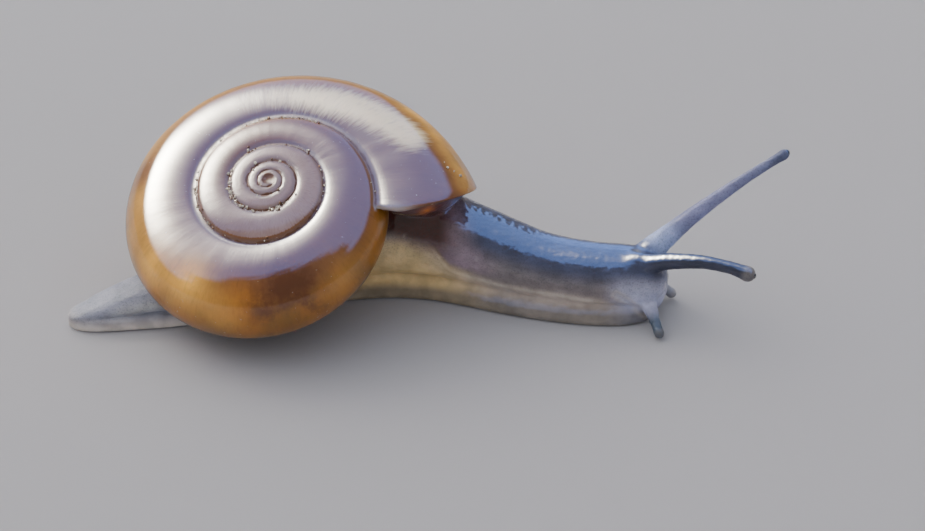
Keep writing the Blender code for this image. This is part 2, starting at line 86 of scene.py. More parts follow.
def spline(points: np.ndarray, steps: int) -> np.ndarray:
    """Run a smooth curve through rows of numbers.

    Args:
        points: one row for each point that the curve passes.
        steps: pieces between two neighbouring points.

    Returns:
        The rows along the curve, its ends included.
    """
    padded = np.vstack([2 * points[0] - points[1], points, 2 * points[-1] - points[-2]])
    part = np.linspace(0, 1, steps, endpoint=False)[:, None]
    rows = []
    for before, start, end, after in zip(padded, padded[1:], padded[2:], padded[3:]):
        rows.append(0.5 * (2 * start + (end - before) * part
                           + (2 * before - 5 * start + 4 * end - after) * part ** 2
                           + (3 * start - before - 3 * end + after) * part ** 3))
    return np.vstack(rows + [points[-1:]])


class Builder:
    """A mesh in the making, whose vertices are numbered by a slot."""

    def __init__(self) -> None:
        """Start an empty mesh with a slot layer."""
        self.bm = bmesh.new()
        self.slot = self.bm.verts.layers.int.new("slot")

    def chain(self, places: np.ndarray, closed: bool = False) -> list:
        """Join places by edges.

        Args:
            places: one place a row; the slot is the row's number.
            closed: whether the last place is joined to the first.

        Returns:
            The edges of the chain.
        """
        verts = [self.bm.verts.new(place) for place in places]
        for number, vert in enumerate(verts):
            vert[self.slot] = number
        ends = verts[1:] + verts[:1] if closed else verts[1:]
        return [self.bm.edges.new(pair) for pair in zip(verts, ends)]

    def extrude(self, edges: list, place: Callable[[int], Sequence[float]]) -> list:
        """Extrude edges and put each new vertex in its place.

        Args:
            edges: the front of the surface so far.
            place: gives the place of a slot.

        Returns:
            The edges of the new front.
        """
        made = bmesh.ops.extrude_edge_only(self.bm, edges=edges)["geom"]
        verts = {item for item in made if isinstance(item, bmesh.types.BMVert)}
        for vert in verts:
            vert.co = place(vert[self.slot])
        return [item for item in made
                if isinstance(item, bmesh.types.BMEdge) and set(item.verts) <= verts]

    def loft(self, rings: Sequence[np.ndarray]) -> None:
        """Run a closed skin through rings of equal length and close both its ends."""
        edges = self.chain(rings[0], closed=True)
        for ring in rings[1:]:
            edges = self.extrude(edges, lambda number: ring[number])
        self.close()

    def close(self) -> None:
        """Fill every open loop, merge what coincides, and turn the faces outwards."""
        bmesh.ops.remove_doubles(self.bm, verts=self.bm.verts, dist=WELD)
        rim = [edge for edge in self.bm.edges if edge.is_boundary]
        bmesh.ops.holes_fill(self.bm, edges=rim, sides=0)
        bmesh.ops.recalc_face_normals(self.bm, faces=self.bm.faces)

    def mesh(self, name: str) -> bpy.types.Mesh:
        """Turn the work into a mesh, still in millimetres."""
        mesh = bpy.data.meshes.new(name)
        self.bm.to_mesh(mesh)
        self.bm.free()
        return mesh


def places_of(mesh: bpy.types.Mesh) -> np.ndarray:
    """Places of a mesh's vertices, one a row."""
    flat = np.empty(len(mesh.vertices) * 3, np.float32)
    mesh.vertices.foreach_get("co", flat)
    return flat.reshape(-1, 3).astype(float)


def normals_of(mesh: bpy.types.Mesh) -> np.ndarray:
    """Normals of a mesh's vertices, one a row."""
    flat = np.empty(len(mesh.vertices) * 3, np.float32)
    mesh.vertex_normals.foreach_get("vector", flat)
    return flat.reshape(-1, 3).astype(float)


def put_places(mesh: bpy.types.Mesh, places: np.ndarray) -> None:
    """Move a mesh's vertices."""
    mesh.vertices.foreach_set("co", places.astype(np.float32).ravel())
    mesh.update()


def values_of(mesh: bpy.types.Mesh, name: str) -> np.ndarray:
    """Stored values of a mesh's vertices."""
    flat = np.empty(len(mesh.vertices), np.float32)
    mesh.attributes[name].data.foreach_get("value", flat)
    return flat


def spots(places: np.ndarray, table: Iterable[tuple]) -> np.ndarray:
    """Sum of soft round spots at each place.

    Args:
        places: one place a row, in mm.
        table: rows of middle, reach and share.

    Returns:
        The sum for each place.
    """
    return sum(share * hump(np.linalg.norm(places - middle, axis=1), 0.0, reach)
               for middle, reach, share in table)


def put_values(mesh: bpy.types.Mesh, name: str, values: np.ndarray) -> None:
    """Store one number for each vertex, for a finish to read."""
    layer = mesh.attributes.new(name, "FLOAT", "POINT")
    layer.data.foreach_set("value", values.astype(np.float32).ravel())


def put_colours(mesh: bpy.types.Mesh, name: str, colours: np.ndarray) -> None:
    """Store one colour for each vertex, for a finish to read."""
    layer = mesh.attributes.new(name, "FLOAT_COLOR", "POINT")
    full = np.hstack([colours, np.ones((len(colours), 1))])
    layer.data.foreach_set("color", full.astype(np.float32).ravel())


def tree_of(mesh: bpy.types.Mesh) -> BVHTree:
    """A search tree of a mesh's faces."""
    return BVHTree.FromPolygons([v.co for v in mesh.vertices],
                                [tuple(face.vertices) for face in mesh.polygons])


def apply_modifiers(form: bpy.types.Object) -> bpy.types.Mesh:
    """The mesh that an object's modifiers give; the object goes."""
    bpy.context.view_layer.update()
    mesh = bpy.data.meshes.new_from_object(
        form.evaluated_get(bpy.context.evaluated_depsgraph_get()))
    bpy.data.objects.remove(form)
    return mesh


def add_piece(name: str, mesh: bpy.types.Mesh, finish: bpy.types.Material,
              nodes: Iterable[str]) -> bpy.types.Object:
    """Make a finished piece from a mesh in millimetres and tell the frame about it.

    Args:
        name: name of the piece.
        mesh: its mesh, in millimetres from below the apex.
        finish: its material.
        nodes: the solids that it stands for.

    Returns:
        The piece.
    """
    put_places(mesh, (places_of(mesh) + FROM_APEX) * MM)
    mesh.shade_smooth()
    mesh.materials.clear()
    mesh.materials.append(finish)
    piece = bpy.data.objects.new(name, mesh)
    bpy.context.scene.collection.objects.link(piece)
    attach(piece, "root")
    if nodes:
        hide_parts(*nodes)
    mesh.calc_loop_triangles()
    LOG.info("%s: %d triangles", name, len(mesh.loop_triangles))
    return piece


# --- finishes -------------------------------------------------------------------------------
class Recipe:
    """The nodes of one material, or of the room's light."""

    def __init__(self, owner: object, shader: str = "Principled BSDF",
                 coordinates: str = "Object") -> None:
        """Start from a new material or world.

        Args:
            owner: the material or world.
            shader: name of its shader node.
            coordinates: the texture coordinates that patterns use.
        """
        self.owner = owner
        owner.use_nodes = True
        self.tree = owner.node_tree
        self.shader = self.tree.nodes[shader]
        self.coordinates = self.node("ShaderNodeTexCoord").outputs[coordinates]

    def node(self, kind: str, **settings: object) -> bpy.types.Node:
        """Add a node and set its properties."""
        node = self.tree.nodes.new(kind)
        for key, value in settings.items():
            setattr(node, key, value)
        return node

    def feed(self, socket: bpy.types.NodeSocket, value: object) -> None:
        """Link an output to a socket, or set the socket to a constant."""
        if isinstance(value, bpy.types.NodeSocket):
            self.tree.links.new(value, socket)
        else:
            socket.default_value = value

    def set(self, **values: object) -> None:
        """Set or link the shader's sockets, named with underscores for spaces."""
        for key, value in values.items():
            self.feed(self.shader.inputs[key.replace("_", " ")], value)

    def attribute(self, name: str, kind: str = "Fac") -> bpy.types.NodeSocket:
        """Read a stored value or colour of the surface."""
        return self.node("ShaderNodeAttribute", attribute_name=name).outputs[kind]

    def noise(self, scale: float, detail: float = 2.0, vector: object = None,
              rough: float = 0.5) -> bpy.types.NodeSocket:
        """Smooth random values; scale is in lumps to a metre on object coordinates."""
        node = self.node("ShaderNodeTexNoise")
        self.feed(node.inputs["Vector"], vector or self.coordinates)
        node.inputs["Scale"].default_value = scale
        node.inputs["Detail"].default_value = detail
        node.inputs["Roughness"].default_value = rough
        return node.outputs["Fac"]

    def stretch(self, vector: bpy.types.NodeSocket, scale: Sequence[float]) -> bpy.types.NodeSocket:
        """Scale a pattern's coordinates by axis."""
        node = self.node("ShaderNodeMapping")
        self.feed(node.inputs["Vector"], vector)
        node.inputs["Scale"].default_value = scale
        return node.outputs["Vector"]

    def cells(self, scale: float, vector: object = None) -> bpy.types.NodeSocket:
        """Rounded cells, 0 in their middles."""
        node = self.node("ShaderNodeTexVoronoi", feature="SMOOTH_F1")
        self.feed(node.inputs["Vector"], vector or self.coordinates)
        node.inputs["Scale"].default_value = scale
        node.inputs["Smoothness"].default_value = 0.35
        return node.outputs["Distance"]

    def between(self, value: object, low: float, high: float, to_low: float = 0.0,
                to_high: float = 1.0) -> bpy.types.NodeSocket:
        """Map a value from one span to another, softly and held at the ends."""
        node = self.node("ShaderNodeMapRange", interpolation_type="SMOOTHSTEP")
        self.feed(node.inputs["Value"], value)
        for key, number in (("From Min", low), ("From Max", high), ("To Min", to_low),
                            ("To Max", to_high)):
            node.inputs[key].default_value = number
        return node.outputs["Result"]

    def maths(self, kind: str, first: object, second: object = 0.0) -> bpy.types.NodeSocket:
        """One step of arithmetic."""
        node = self.node("ShaderNodeMath", operation=kind)
        self.feed(node.inputs[0], first)
        self.feed(node.inputs[1], second)
        return node.outputs[0]

    def mix(self, share: object, first: object, second: object,
            blend: str = "MIX") -> bpy.types.NodeSocket:
        """Mix two colours."""
        node = self.node("ShaderNodeMix", data_type="RGBA", blend_type=blend)
        self.feed(node.inputs["Factor"], share)
        for key, value in ((6, first), (7, second)):
            if not isinstance(value, bpy.types.NodeSocket):
                value = (*value, 1.0)
            self.feed(node.inputs[key], value)
        return node.outputs[2]

    def bump(self, height: object, distance: float, strength: float = 1.0,
             normal: object = None) -> bpy.types.NodeSocket:
        """Raise a surface by a height; distance is in metres."""
        node = self.node("ShaderNodeBump")
        node.inputs["Distance"].default_value = distance
        node.inputs["Strength"].default_value = strength
        self.feed(node.inputs["Height"], height)
        if normal is not None:
            self.feed(node.inputs["Normal"], normal)
        return node.outputs["Normal"]


@dataclass(frozen=True)
class ShellFinish:
    """Glossy, slightly see-through horn: amber, with the animal showing darker through it; painted
    glow, painted sunlight and painted sky reflection are part of its colour.
    """

    amber: tuple = (0.22, 0.097, 0.012)
    # painted glow: the golden of light shining through the shell
    painted_glow_tone: tuple = (1.0, 0.51, 0.09)
    ember: tuple = (0.42, 0.15, 0.012)
    liver: tuple = (0.13, 0.048, 0.026)
    # painted highlight: the cream of the sunlit band on the last whorl
    sunlit_cream: tuple = (0.92, 0.76, 0.50)
    dark: tuple = (0.095, 0.028, 0.008)
    seam: tuple = (0.115, 0.050, 0.024)
    # painted reflection: lilac-grey of sky mirrored beside the sutures
    suture_sheen: tuple = (0.16, 0.12, 0.12)
    # painted reflection: the pale lilac of sky mirrored on the spire
    painted_sky_mauve: tuple = (0.33, 0.235, 0.235)
    skirt: tuple = (0.20, 0.075, 0.014)
    lip: tuple = (0.30, 0.27, 0.27)
    grit: tuple = (0.55, 0.50, 0.40)

    def make(self) -> bpy.types.Material:
        """Mix the material."""
        r = Recipe(bpy.data.materials.new("amber_shell"))
        turns = r.node("ShaderNodeUVMap", uv_map="growth").outputs["UV"]
        lines = r.noise(60.0, 3.0, r.stretch(turns, (4.0, 0.05, 1.0)), 0.6)
        fine = r.noise(260.0, 2.0, r.stretch(turns, (4.0, 0.02, 1.0)), 0.5)
        cloud = r.noise(700.0, 5.0, None, 0.6)
        mottle = r.between(r.noise(1100.0, 5.0, None, 0.65), 0.34, 0.62)
        colour = r.mix(r.between(cloud, 0.35, 0.7, 0.0, 0.5), self.amber, self.ember)
        colour = r.mix(r.attribute("upper"), colour, self.liver)
        # painted light in this loop: glow is painted light shining through the shell, spire is
        # painted sky reflection
        for name, least, tint in (("ember", 0.6, self.ember), ("glow", 0.75, self.painted_glow_tone),
                                  ("spire", 0.7, self.painted_sky_mauve)):
            share = r.maths("MULTIPLY", r.attribute(name), r.between(cloud, 0.3, 0.6, least))
            colour = r.mix(share, colour, tint)
        skirt = r.maths("ADD", r.attribute("skirt"), r.between(lines, 0.3, 0.7, -0.15, 0.15))
        colour = r.mix(r.between(skirt, 0.25, 0.75, 0.0, 0.95), colour, self.skirt)
        # painted highlight: a cream band where sunlight brightens the last whorl
        painted_sunlight = r.maths("ADD", r.attribute("painted_sunlight"), r.between(lines, 0.3, 0.7, -0.12, 0.12))
        colour = r.mix(r.between(painted_sunlight, 0.15, 0.85), colour, self.sunlit_cream)
        organ = r.maths("ADD", r.attribute("organ"), r.maths("MULTIPLY", mottle, 0.55))
        colour = r.mix(r.between(organ, 0.4, 1.4, 0.0, 0.9), colour, self.dark)
        colour = r.mix(r.between(lines, 0.45, 0.8, 0.0, 0.25), colour, self.dark)
        edge = r.attribute("from_suture")
        # painted reflection: a pale band beside each suture, where the crest mirrors the sky
        colour = r.mix(r.between(edge, 0.12, 0.30, 0.5, 0.0), colour, self.suture_sheen)
        ragged = r.maths("ADD", edge, r.between(r.noise(2600.0, 3.0), 0.3, 0.7, -0.06, 0.06))
        colour = r.mix(r.between(ragged, 0.02, 0.08, 0.9, 0.0), colour, self.seam)
        specks = r.between(r.noise(7000.0, 2.0), 0.70, 0.76)
        colour = r.mix(r.maths("MULTIPLY", specks, r.attribute("dusty")), colour, self.grit)
        colour = r.mix(r.attribute("lip"), colour, self.lip)
        height = r.maths("ADD", lines, r.maths("MULTIPLY", fine, 0.35))
        height = r.maths("ADD", height, r.maths("MULTIPLY", r.noise(1800.0, 3.0), 0.25))
        normal = r.bump(height, 0.000006)
        film = r.bump(height, 0.0000025)
        r.set(Base_Color=colour, Roughness=r.between(cloud, 0.3, 0.7, 0.30, 0.40),
              Specular_IOR_Level=0.05, Subsurface_Weight=0.25,
              Subsurface_Radius=(1.0, 0.4, 0.12), Subsurface_Scale=0.0006,
              Coat_Weight=r.maths("MULTIPLY", r.between(edge, 0.02, 0.10, 0.45, 1.0),
                                  r.attribute("fresh")), Coat_Roughness=0.05,
              Coat_IOR=1.55, Normal=normal, Coat_Normal=film)
        return r.owner


@dataclass(frozen=True)
class SkinFinish:
    """Wet skin: its tone comes from the body, broken by fine pigment and low tubercles."""

    pigment: tuple = (0.030, 0.030, 0.045)

    def make(self) -> bpy.types.Material:
        """Mix the material."""
        r = Recipe(bpy.data.materials.new("wet_skin"))
        tone = r.attribute("tone", "Color")
        fleck = r.between(r.noise(15000.0, 2.0), 0.48, 0.70)
        dots = r.maths("MULTIPLY", fleck, r.attribute("pigment"))
        colour = r.mix(r.maths("MULTIPLY", dots, 0.30), tone, self.pigment)
        cloud = r.between(r.noise(1300.0, 3.0), 0.3, 0.7, 0.80, 1.15)
        colour = r.mix(1.0, colour, cloud, "MULTIPLY")
        long = r.stretch(r.coordinates, (0.6, 1.0, 1.0))
        warts = r.cells(5200.0, long)
        height = r.maths("ADD", r.maths("MULTIPLY", warts, -1.0),
                         r.maths("MULTIPLY", r.noise(14000.0, 2.0), 0.25))
        normal = r.bump(height, 0.000030)
        film = r.bump(height, 0.000006)
        r.set(Base_Color=colour, Roughness=0.45, Specular_IOR_Level=0.06, Subsurface_Weight=0.3,
              Subsurface_Radius=(1.0, 0.65, 0.45), Subsurface_Scale=0.0005,
              Coat_Weight=r.attribute("wet"), Coat_Roughness=0.08, Coat_IOR=1.62,
              Normal=normal, Coat_Normal=film)
        return r.owner


@dataclass(frozen=True)
class GritFinish:
    """Dry crumbs of soil, some pale and some brown."""

    pale: tuple = (0.66, 0.60, 0.50)
    brown: tuple = (0.12, 0.055, 0.025)

    def make(self) -> bpy.types.Material:
        """Mix the material."""
        r = Recipe(bpy.data.materials.new("soil_grit"))
        colour = r.mix(r.between(r.attribute("soil"), 0.30, 0.42), self.brown, self.pale)
        cloud = r.between(r.noise(9000.0, 3.0), 0.3, 0.7, 0.6, 1.3)
        r.set(Base_Color=r.mix(1.0, colour, cloud, "MULTIPLY"), Roughness=0.8)
        return r.owner


@dataclass(frozen=True)
class PlainFinish:
    """One colour, a little clouded."""

    name: str
    colour: tuple
    roughness: float
    coat: float = 0.0

    def make(self) -> bpy.types.Material:
        """Mix the material."""
        r = Recipe(bpy.data.materials.new(self.name))
        cloud = r.between(r.noise(2500.0, 3.0), 0.3, 0.7, 0.7, 1.2)
        r.set(Base_Color=r.mix(1.0, self.colour, cloud, "MULTIPLY"), Roughness=self.roughness,
              Coat_Weight=self.coat)
        return r.owner


# --- shell ----------------------------------------------------------------------------------
@dataclass(frozen=True)
class Coil:
    """The spiral that the shell follows; lengths in mm, n in turns back from the lip."""

    lip_radius: float = 8.62
    growth: float = 0.610
    growth_curve: float = 0.0087
    swell: float = 0.183
    swell_phase: float = -0.156
    swell_decay: float = 1.58
    width: float = 0.370
    height: float = 0.877
    drop: float = 0.386
    drop_curve: float = 1.068
    drop_unit: float = 5.0
    bulge: float = 0.15
    lip_angle: float = math.radians(-16.0)
    apex_height: float = 6.1
    tilt: float = math.radians(24.2)
    tilt_towards: float = math.radians(-105.5)

    def whorl(self, n: np.ndarray) -> tuple:
        """Half-width, half-height, and the middle's radius and level of the whorl."""
        swell = (self.swell * np.sin(2 * math.pi * n + self.swell_phase)
                 * np.exp(-self.swell_decay * n))
        radius = self.lip_radius * np.exp(-self.growth * n - self.growth_curve * n * n - swell)
        width = self.width * radius
        drop = self.drop * radius ** self.drop_curve * self.drop_unit ** (1 - self.drop_curve)
        return width, self.height * width, radius - width, -drop

    def far(self, angle: np.ndarray) -> np.ndarray:
        """Radius of the section over that of an ellipse."""
        return 1 + self.bulge * np.minimum(0.0, np.cos(angle)) ** 2

    def on_whorl(self, n: np.ndarray, angle: np.ndarray, grow: object = 0.0) -> tuple:
        """Radius and level of a point of the section, 0 degrees being outermost."""
        width, height, middle, level = self.whorl(n)
        far = self.far(angle)
        return (middle + (width + grow) * far * np.cos(angle),
                level + (height + grow) * far * np.sin(angle))

    def angle_of(self, n: np.ndarray, radius: np.ndarray, level: np.ndarray) -> tuple:
        """Angle of a point on the section, and its distance in units of the section."""
        width, height, middle, base = self.whorl(n)
        across, up = (radius - middle) / width, (level - base) / height
        angle = np.arctan2(up, across)
        return angle, np.hypot(across, up) / self.far(angle)

    def suture(self, n: np.ndarray, side: int) -> np.ndarray:
        """Angle on the next inner whorl where this one meets it, on top (1) or below (-1)."""
        inside = np.zeros_like(n)
        outside = np.full_like(n, side * math.radians(100 if side > 0 else 175))
        for _ in range(40):
            middle = (inside + outside) / 2
            hidden = self.angle_of(n, *self.on_whorl(n + 1, middle))[1] < 1
            inside, outside = np.where(hidden, middle, inside), np.where(hidden, outside, middle)
        return inside

    def limits(self, n: np.ndarray) -> tuple:
        """Angles of the section's four sutures: inner top, outer top, outer base, inner base."""
        outer = np.maximum(n, 1.0) - 1
        top, base = self.suture(outer, 1), self.suture(outer, -1)
        inner_top = self.angle_of(n, *self.on_whorl(n + 1, self.suture(n, 1)))[0]
        inner_base = self.angle_of(n, *self.on_whorl(n + 1, self.suture(n, -1)))[0]
        return inner_top, top, base, np.where(inner_base > 0, inner_base - 2 * math.pi, inner_base)

    def place(self, n: np.ndarray, radius: np.ndarray, level: np.ndarray) -> np.ndarray:
        """Places, one a row, of points n turns back, standing tilted over the floor."""
        turn = self.lip_angle + 2 * math.pi * np.asarray(n)
        flat = np.stack([radius * np.cos(turn), radius * np.sin(turn),
                         np.broadcast_to(level, np.shape(radius))], -1)
        return flat @ np.array(self.lean().to_3x3()).T + (0, 0, self.apex_height)

    def lean(self) -> Matrix:
        """The turn that leans the spire over."""
        towards = Vector((math.cos(self.tilt_towards), math.sin(self.tilt_towards), 0))
        return Matrix.Rotation(self.tilt, 4, Vector((0, 0, 1)).cross(towards))


@dataclass
class Shell:
    """The coiled shell, in strips that end where the next whorl hides them."""

    coil: Coil = field(default_factory=Coil)
    turns: float = 4.9
    steps: int = 150                 # stations in a turn
    top: int = 14                    # pieces of the section's top, side and base
    side: int = 40
    base: int = 12
    columella: int = 13              # pieces of the wall that the columella covers
    umbilicus: float = 2.26          # turns after which the base is hidden
    lip_lag: float = 0.11
    lag_from: float = math.radians(95)
    lag_over: float = math.radians(160)
    lag_fades: float = 0.25
    lip_thickness: float = 0.15
    mouth_depth: float = 0.05
    crest: float = 0.050             # height of the swelling beside a suture
    crest_at: float = 0.12           # its distance from the suture, in half-widths
    ripple: float = 0.004            # growth ridges
    seed: int = 5
    organs: tuple = (                # spots: middle in mm, reach in mm, share
        ((0.95, -3.8, 3.8), 0.85, 1.0), ((1.6, -3.5, 3.2), 0.8, 0.8),
        ((0.1, -4.2, 3.0), 0.7, 0.7), ((3.0, -2.9, 1.6), 0.9, 0.5))
    # painted glow: spots where light shines through the shell
    glows: tuple = (
        ((-2.9, -3.2, 3.5), 0.95, 1.0), ((-4.3, -2.1, 3.6), 1.0, 0.8),
        ((3.0, -3.2, 3.8), 0.9, 0.15), ((-4.9, -0.6, 3.9), 1.0, 0.5),
        ((-1.6, -3.9, 2.6), 0.8, 0.35), ((5.49, 4.06, 6.84), 0.45, 0.4),
        ((6.06, 3.72, 6.57), 0.45, 0.4), ((6.5, 2.7, 6.45), 0.45, 0.4),
        ((6.9, 2.0, 6.2), 0.45, 0.4), ((7.3, 1.4, 5.9), 0.45, 0.4),
        ((7.6, 1.1, 5.6), 0.45, 0.4), ((7.5, 0.5, 5.2), 0.45, 0.4),
        ((-5.16, 0.5, 4.8), 0.8, 0.5), ((-4.9, 3.4, 5.5), 0.9, 0.4),
        ((-3.4, 4.7, 6.3), 0.9, 0.35))
    embers: tuple = (((-0.9, -4.1, 3.1), 0.9, 1.0),)
    sunlit_cream_reach: float = 0.82
    sunlit_cream: tuple = (                 # x, y, z and share along the band of painted sunlight
        (-0.9, 4.20, 7.35, 0.35), (0.2, 4.15, 7.42, 0.5), (1.07, 4.07, 7.48, 0.7),
        (1.7, 3.95, 7.48, 0.85), (2.29, 3.78, 7.47, 1.0), (2.9, 3.6, 7.43, 1.0),
        (3.51, 3.36, 7.36, 1.0), (4.0, 3.13, 7.28, 1.0), (4.49, 2.85, 7.15, 1.0),
        (4.9, 2.6, 7.0, 1.0), (5.21, 2.36, 6.92, 1.0), (5.5, 2.1, 6.8, 0.9))

    def __post_init__(self) -> None:
        """Number the slots and tabulate the sutures."""
        self.first_base = self.top + self.side + 2
        self.last = self.first_base + self.base
        self.table = np.linspace(0.0, self.turns + 1.2, 1600)
        self.sutures = [np.unwrap(angle) if index < 3 else angle
                        for index, angle in enumerate(self.coil.limits(self.table))]
        rng = np.random.default_rng(self.seed)
        knots = np.linspace(0, self.turns + 2, 900)
        self.ridges = (knots, rng.normal(0, 1, knots.size))

    def slot_angle(self, n: np.ndarray, number: int) -> np.ndarray:
        """Angle of a numbered slot of the section."""
        inner_top, top, base, inner_base = (np.interp(n, self.table, a) for a in self.sutures)
        corner = self.lip_thickness / self.coil.whorl(np.array(1.0))[0]
        if number <= self.top:
            return inner_top + (top - inner_top) * number / self.top
        if number >= self.first_base:
            return base + (inner_base - base) * (number - self.first_base) / self.base
        along = (number - self.top - 1) / self.side
        return top - corner + (base - top + 2 * corner) * along

    def lag(self, station: np.ndarray, number: int) -> np.ndarray:
        """Turns by which a slot lies back, so that the stations follow the slanting lip."""
        angle = self.slot_angle(station, number)
        slant = self.lip_lag * np.clip((self.lag_from - angle) / self.lag_over, 0, 1)
        early = slant * (1 - station / self.lag_fades)
        fade = np.maximum(0.0, 1 - np.abs(station - 1) / self.lag_fades)
        if number <= self.top:
            share = 0.0
        elif number >= self.first_base:
            share = 1 - (number - self.first_base) / self.base
        else:
            share = (number - self.top) / (self.first_base - self.top)
        return np.where(station < self.lag_fades, early, self.lip_lag * fade * share)

    def edge_distance(self, n: np.ndarray, angle: np.ndarray) -> np.ndarray:
        """Distance from the nearest visible suture, in mm, on the top or base of a whorl."""
        inner_top, top, base, inner_base = (np.interp(n, self.table, a) for a in self.sutures)
        hidden = 99 * (n < 1)            # the outer sutures start a turn behind the lip
        nearest = np.minimum.reduce([
            np.abs(angle - inner_top), np.abs(angle - top) + hidden,
            np.abs(angle - base) + hidden, np.abs(angle - inner_base)])
        return nearest * self.coil.whorl(n)[0]

    def relief(self, n: np.ndarray, angle: np.ndarray) -> np.ndarray:
        """Height of the swellings beside the sutures and of the growth ridges."""
        width = self.coil.whorl(n)[0]
        inner = smooth_step(1.2, 2.0, n)
        away = self.edge_distance(n, angle) / (self.crest_at * (1 + 0.8 * inner) * width)
        crest = self.crest * (1 + 1.6 * inner) * width / 3.2 * away * np.exp(1 - away)
        ridge = self.ripple * width / 3.2 * np.interp(n, *self.ridges)
        return crest + ridge * away / (1 + away)

    def surface(self, station: np.ndarray, number: int, deeper: float = 0.0,
                inward: float = 0.0) -> tuple:
        """Places of a slot at several stations.

        Args:
            station: turns back from the lip, before the lag.
            number: slot of the section.
            deeper: turns further back.
            inward: mm under the outer surface.

        Returns:
            Places, true turns, and angles on the section.
        """
        station = np.atleast_1d(np.asarray(station, float))
        n = station + self.lag(station, number) + deeper
        angle = self.slot_angle(n, number)
        grow = self.relief(n, angle) - inward
        return self.coil.place(n, *self.coil.on_whorl(n, angle, grow)), n, angle

    def build(self) -> bpy.types.Mesh:
        """Extrude the section along the coil, and turn the edge in at the mouth."""
        count = round(self.turns * self.steps)
        stations = np.arange(count + 1) / self.steps
        slots = [self.surface(stations, number) for number in range(self.last + 1)]
        work = Builder()
        bm, slot = work.bm, work.slot
        marks = [bm.verts.layers.float.new(name) for name in ("n", "angle")]
        edges = work.chain(np.array([slots[k][0][0] for k in range(self.last + 1)]))
        lip = sorted({v for e in edges for v in e.verts}, key=lambda v: v[slot])
        for vert in lip:
            self.mark(vert, marks, slots, vert[slot], 0)
        wall = []
        for step in range(1, count + 1):
            edges = work.extrude(edges, lambda number: slots[number][0][step])
            for vert in {v for e in edges for v in e.verts}:
                self.mark(vert, marks, slots, vert[slot], step)
            if step == self.steps:
                side = {e for e in edges
                        if all(self.top <= v[slot] <= self.first_base for v in e.verts)}
                wall = sorted({v for e in side for v in e.verts}, key=lambda v: v[slot])
                edges = [e for e in edges if e not in side]
            if step == round(self.umbilicus * self.steps):
                edges = [e for e in edges if all(v[slot] <= self.top for v in e.verts)]
        self.map_growth(bm, marks)
        self.turn_in(work, lip, wall)
        bmesh.ops.remove_doubles(bm, verts=bm.verts, dist=WELD)
        work.close()
        return work.mesh("shell_coat")

    @staticmethod
    def mark(vert: bmesh.types.BMVert, marks: list, slots: list, number: int, step: int) -> None:
        """Note a vertex's turns and angle."""
        _, n, angle = slots[number]
        vert[marks[0]], vert[marks[1]] = n[step], angle[step]

    @staticmethod
    def map_growth(bm: bmesh.types.BMesh, marks: list) -> None:
        """Lay a UV map whose first axis is turns and whose second is the section's angle."""
        layer = bm.loops.layers.uv.new("growth")
        for face in bm.faces:
            for loop in face.loops:
                loop[layer].uv = (loop.vert[marks[0]], loop.vert[marks[1]])

    def turn_in(self, work: Builder, lip: list, wall: list) -> None:
        """Join the lip to the wall opposite it and sink the mouth behind a thin edge."""
        bm, slot = work.bm, work.slot
        wall_of = {vert[slot]: vert for vert in wall}
        bmesh.ops.weld_verts(bm, targetmap={wall_of[self.top]: lip[0],
                                            wall_of[self.first_base]: lip[-1]})
        offset = 1000
        end = self.first_base - 1 - self.columella
        for number in range(self.top + 1, self.first_base):
            wall_of[number][slot] = offset + number
        inner = [wall_of[n] for n in range(self.first_base - 1, end - 1, -1)]
        bm.faces.new(lip[self.first_base:] + inner)
        ring = lip[:self.first_base + 1] + [wall_of[n] for n in range(end, self.top, -1)]
        edges = [bm.edges.get(pair) for pair in zip(ring, ring[1:] + ring[:1])]

        def place(number: int, deeper: float, inward: float) -> np.ndarray:
            """Place of a slot of the mouth's edge."""
            if number == 0:
                return self.surface(1.0, self.top + 1, max(deeper, 0.0))[0][0]
            if number >= offset:
                return self.surface(1.0, number - offset, max(deeper, 0.0))[0][0]
            return self.surface(0.0, number, deeper, inward)[0][0]

        thick = self.lip_thickness
        for deeper, inward in ((-0.0012, 0.25 * thick), (-0.0012, 0.75 * thick), (0.0, thick),
                               (0.5 * self.mouth_depth, thick), (self.mouth_depth, thick)):
            edges = work.extrude(edges, lambda number: place(number, deeper, inward))

    def dress(self, mesh: bpy.types.Mesh) -> None:
        """Store where the seams, the painted glow, the painted sunlight, the painted sky reflection
        on the spire and the dark organs lie.
        """
        n, angle = (values_of(mesh, name).astype(float) for name in ("n", "angle"))
        edge = np.minimum(self.edge_distance(n, angle), 2.0)
        places, backward = places_of(mesh), normals_of(mesh)[:, 1]

        put_values(mesh, "from_suture", edge)
        put_values(mesh, "upper", 0.85 * smooth_step(0.35, 1.0, angle))
        put_values(mesh, "organ", np.clip(spots(places, self.organs), 0, 1))
        # painted glow: spots, and the rim on the back side, where light shines through the shell
        back = smooth_step(1.0, 3.0, places[:, 1])
        glow = spots(places, self.glows) + 0.35 * hump(backward, 0.25, 0.25) * back
        put_values(mesh, "glow", np.clip(glow, 0, 1))
        # painted highlight: the sunlit band, as soft spots along the listed points
        painted_sunlight = [spots(places, [(point, self.sunlit_cream_reach, share)]) for *point, share in self.sunlit_cream]
        put_values(mesh, "painted_sunlight", np.max(painted_sunlight, axis=0) * smooth_step(0.0, 0.03, n))
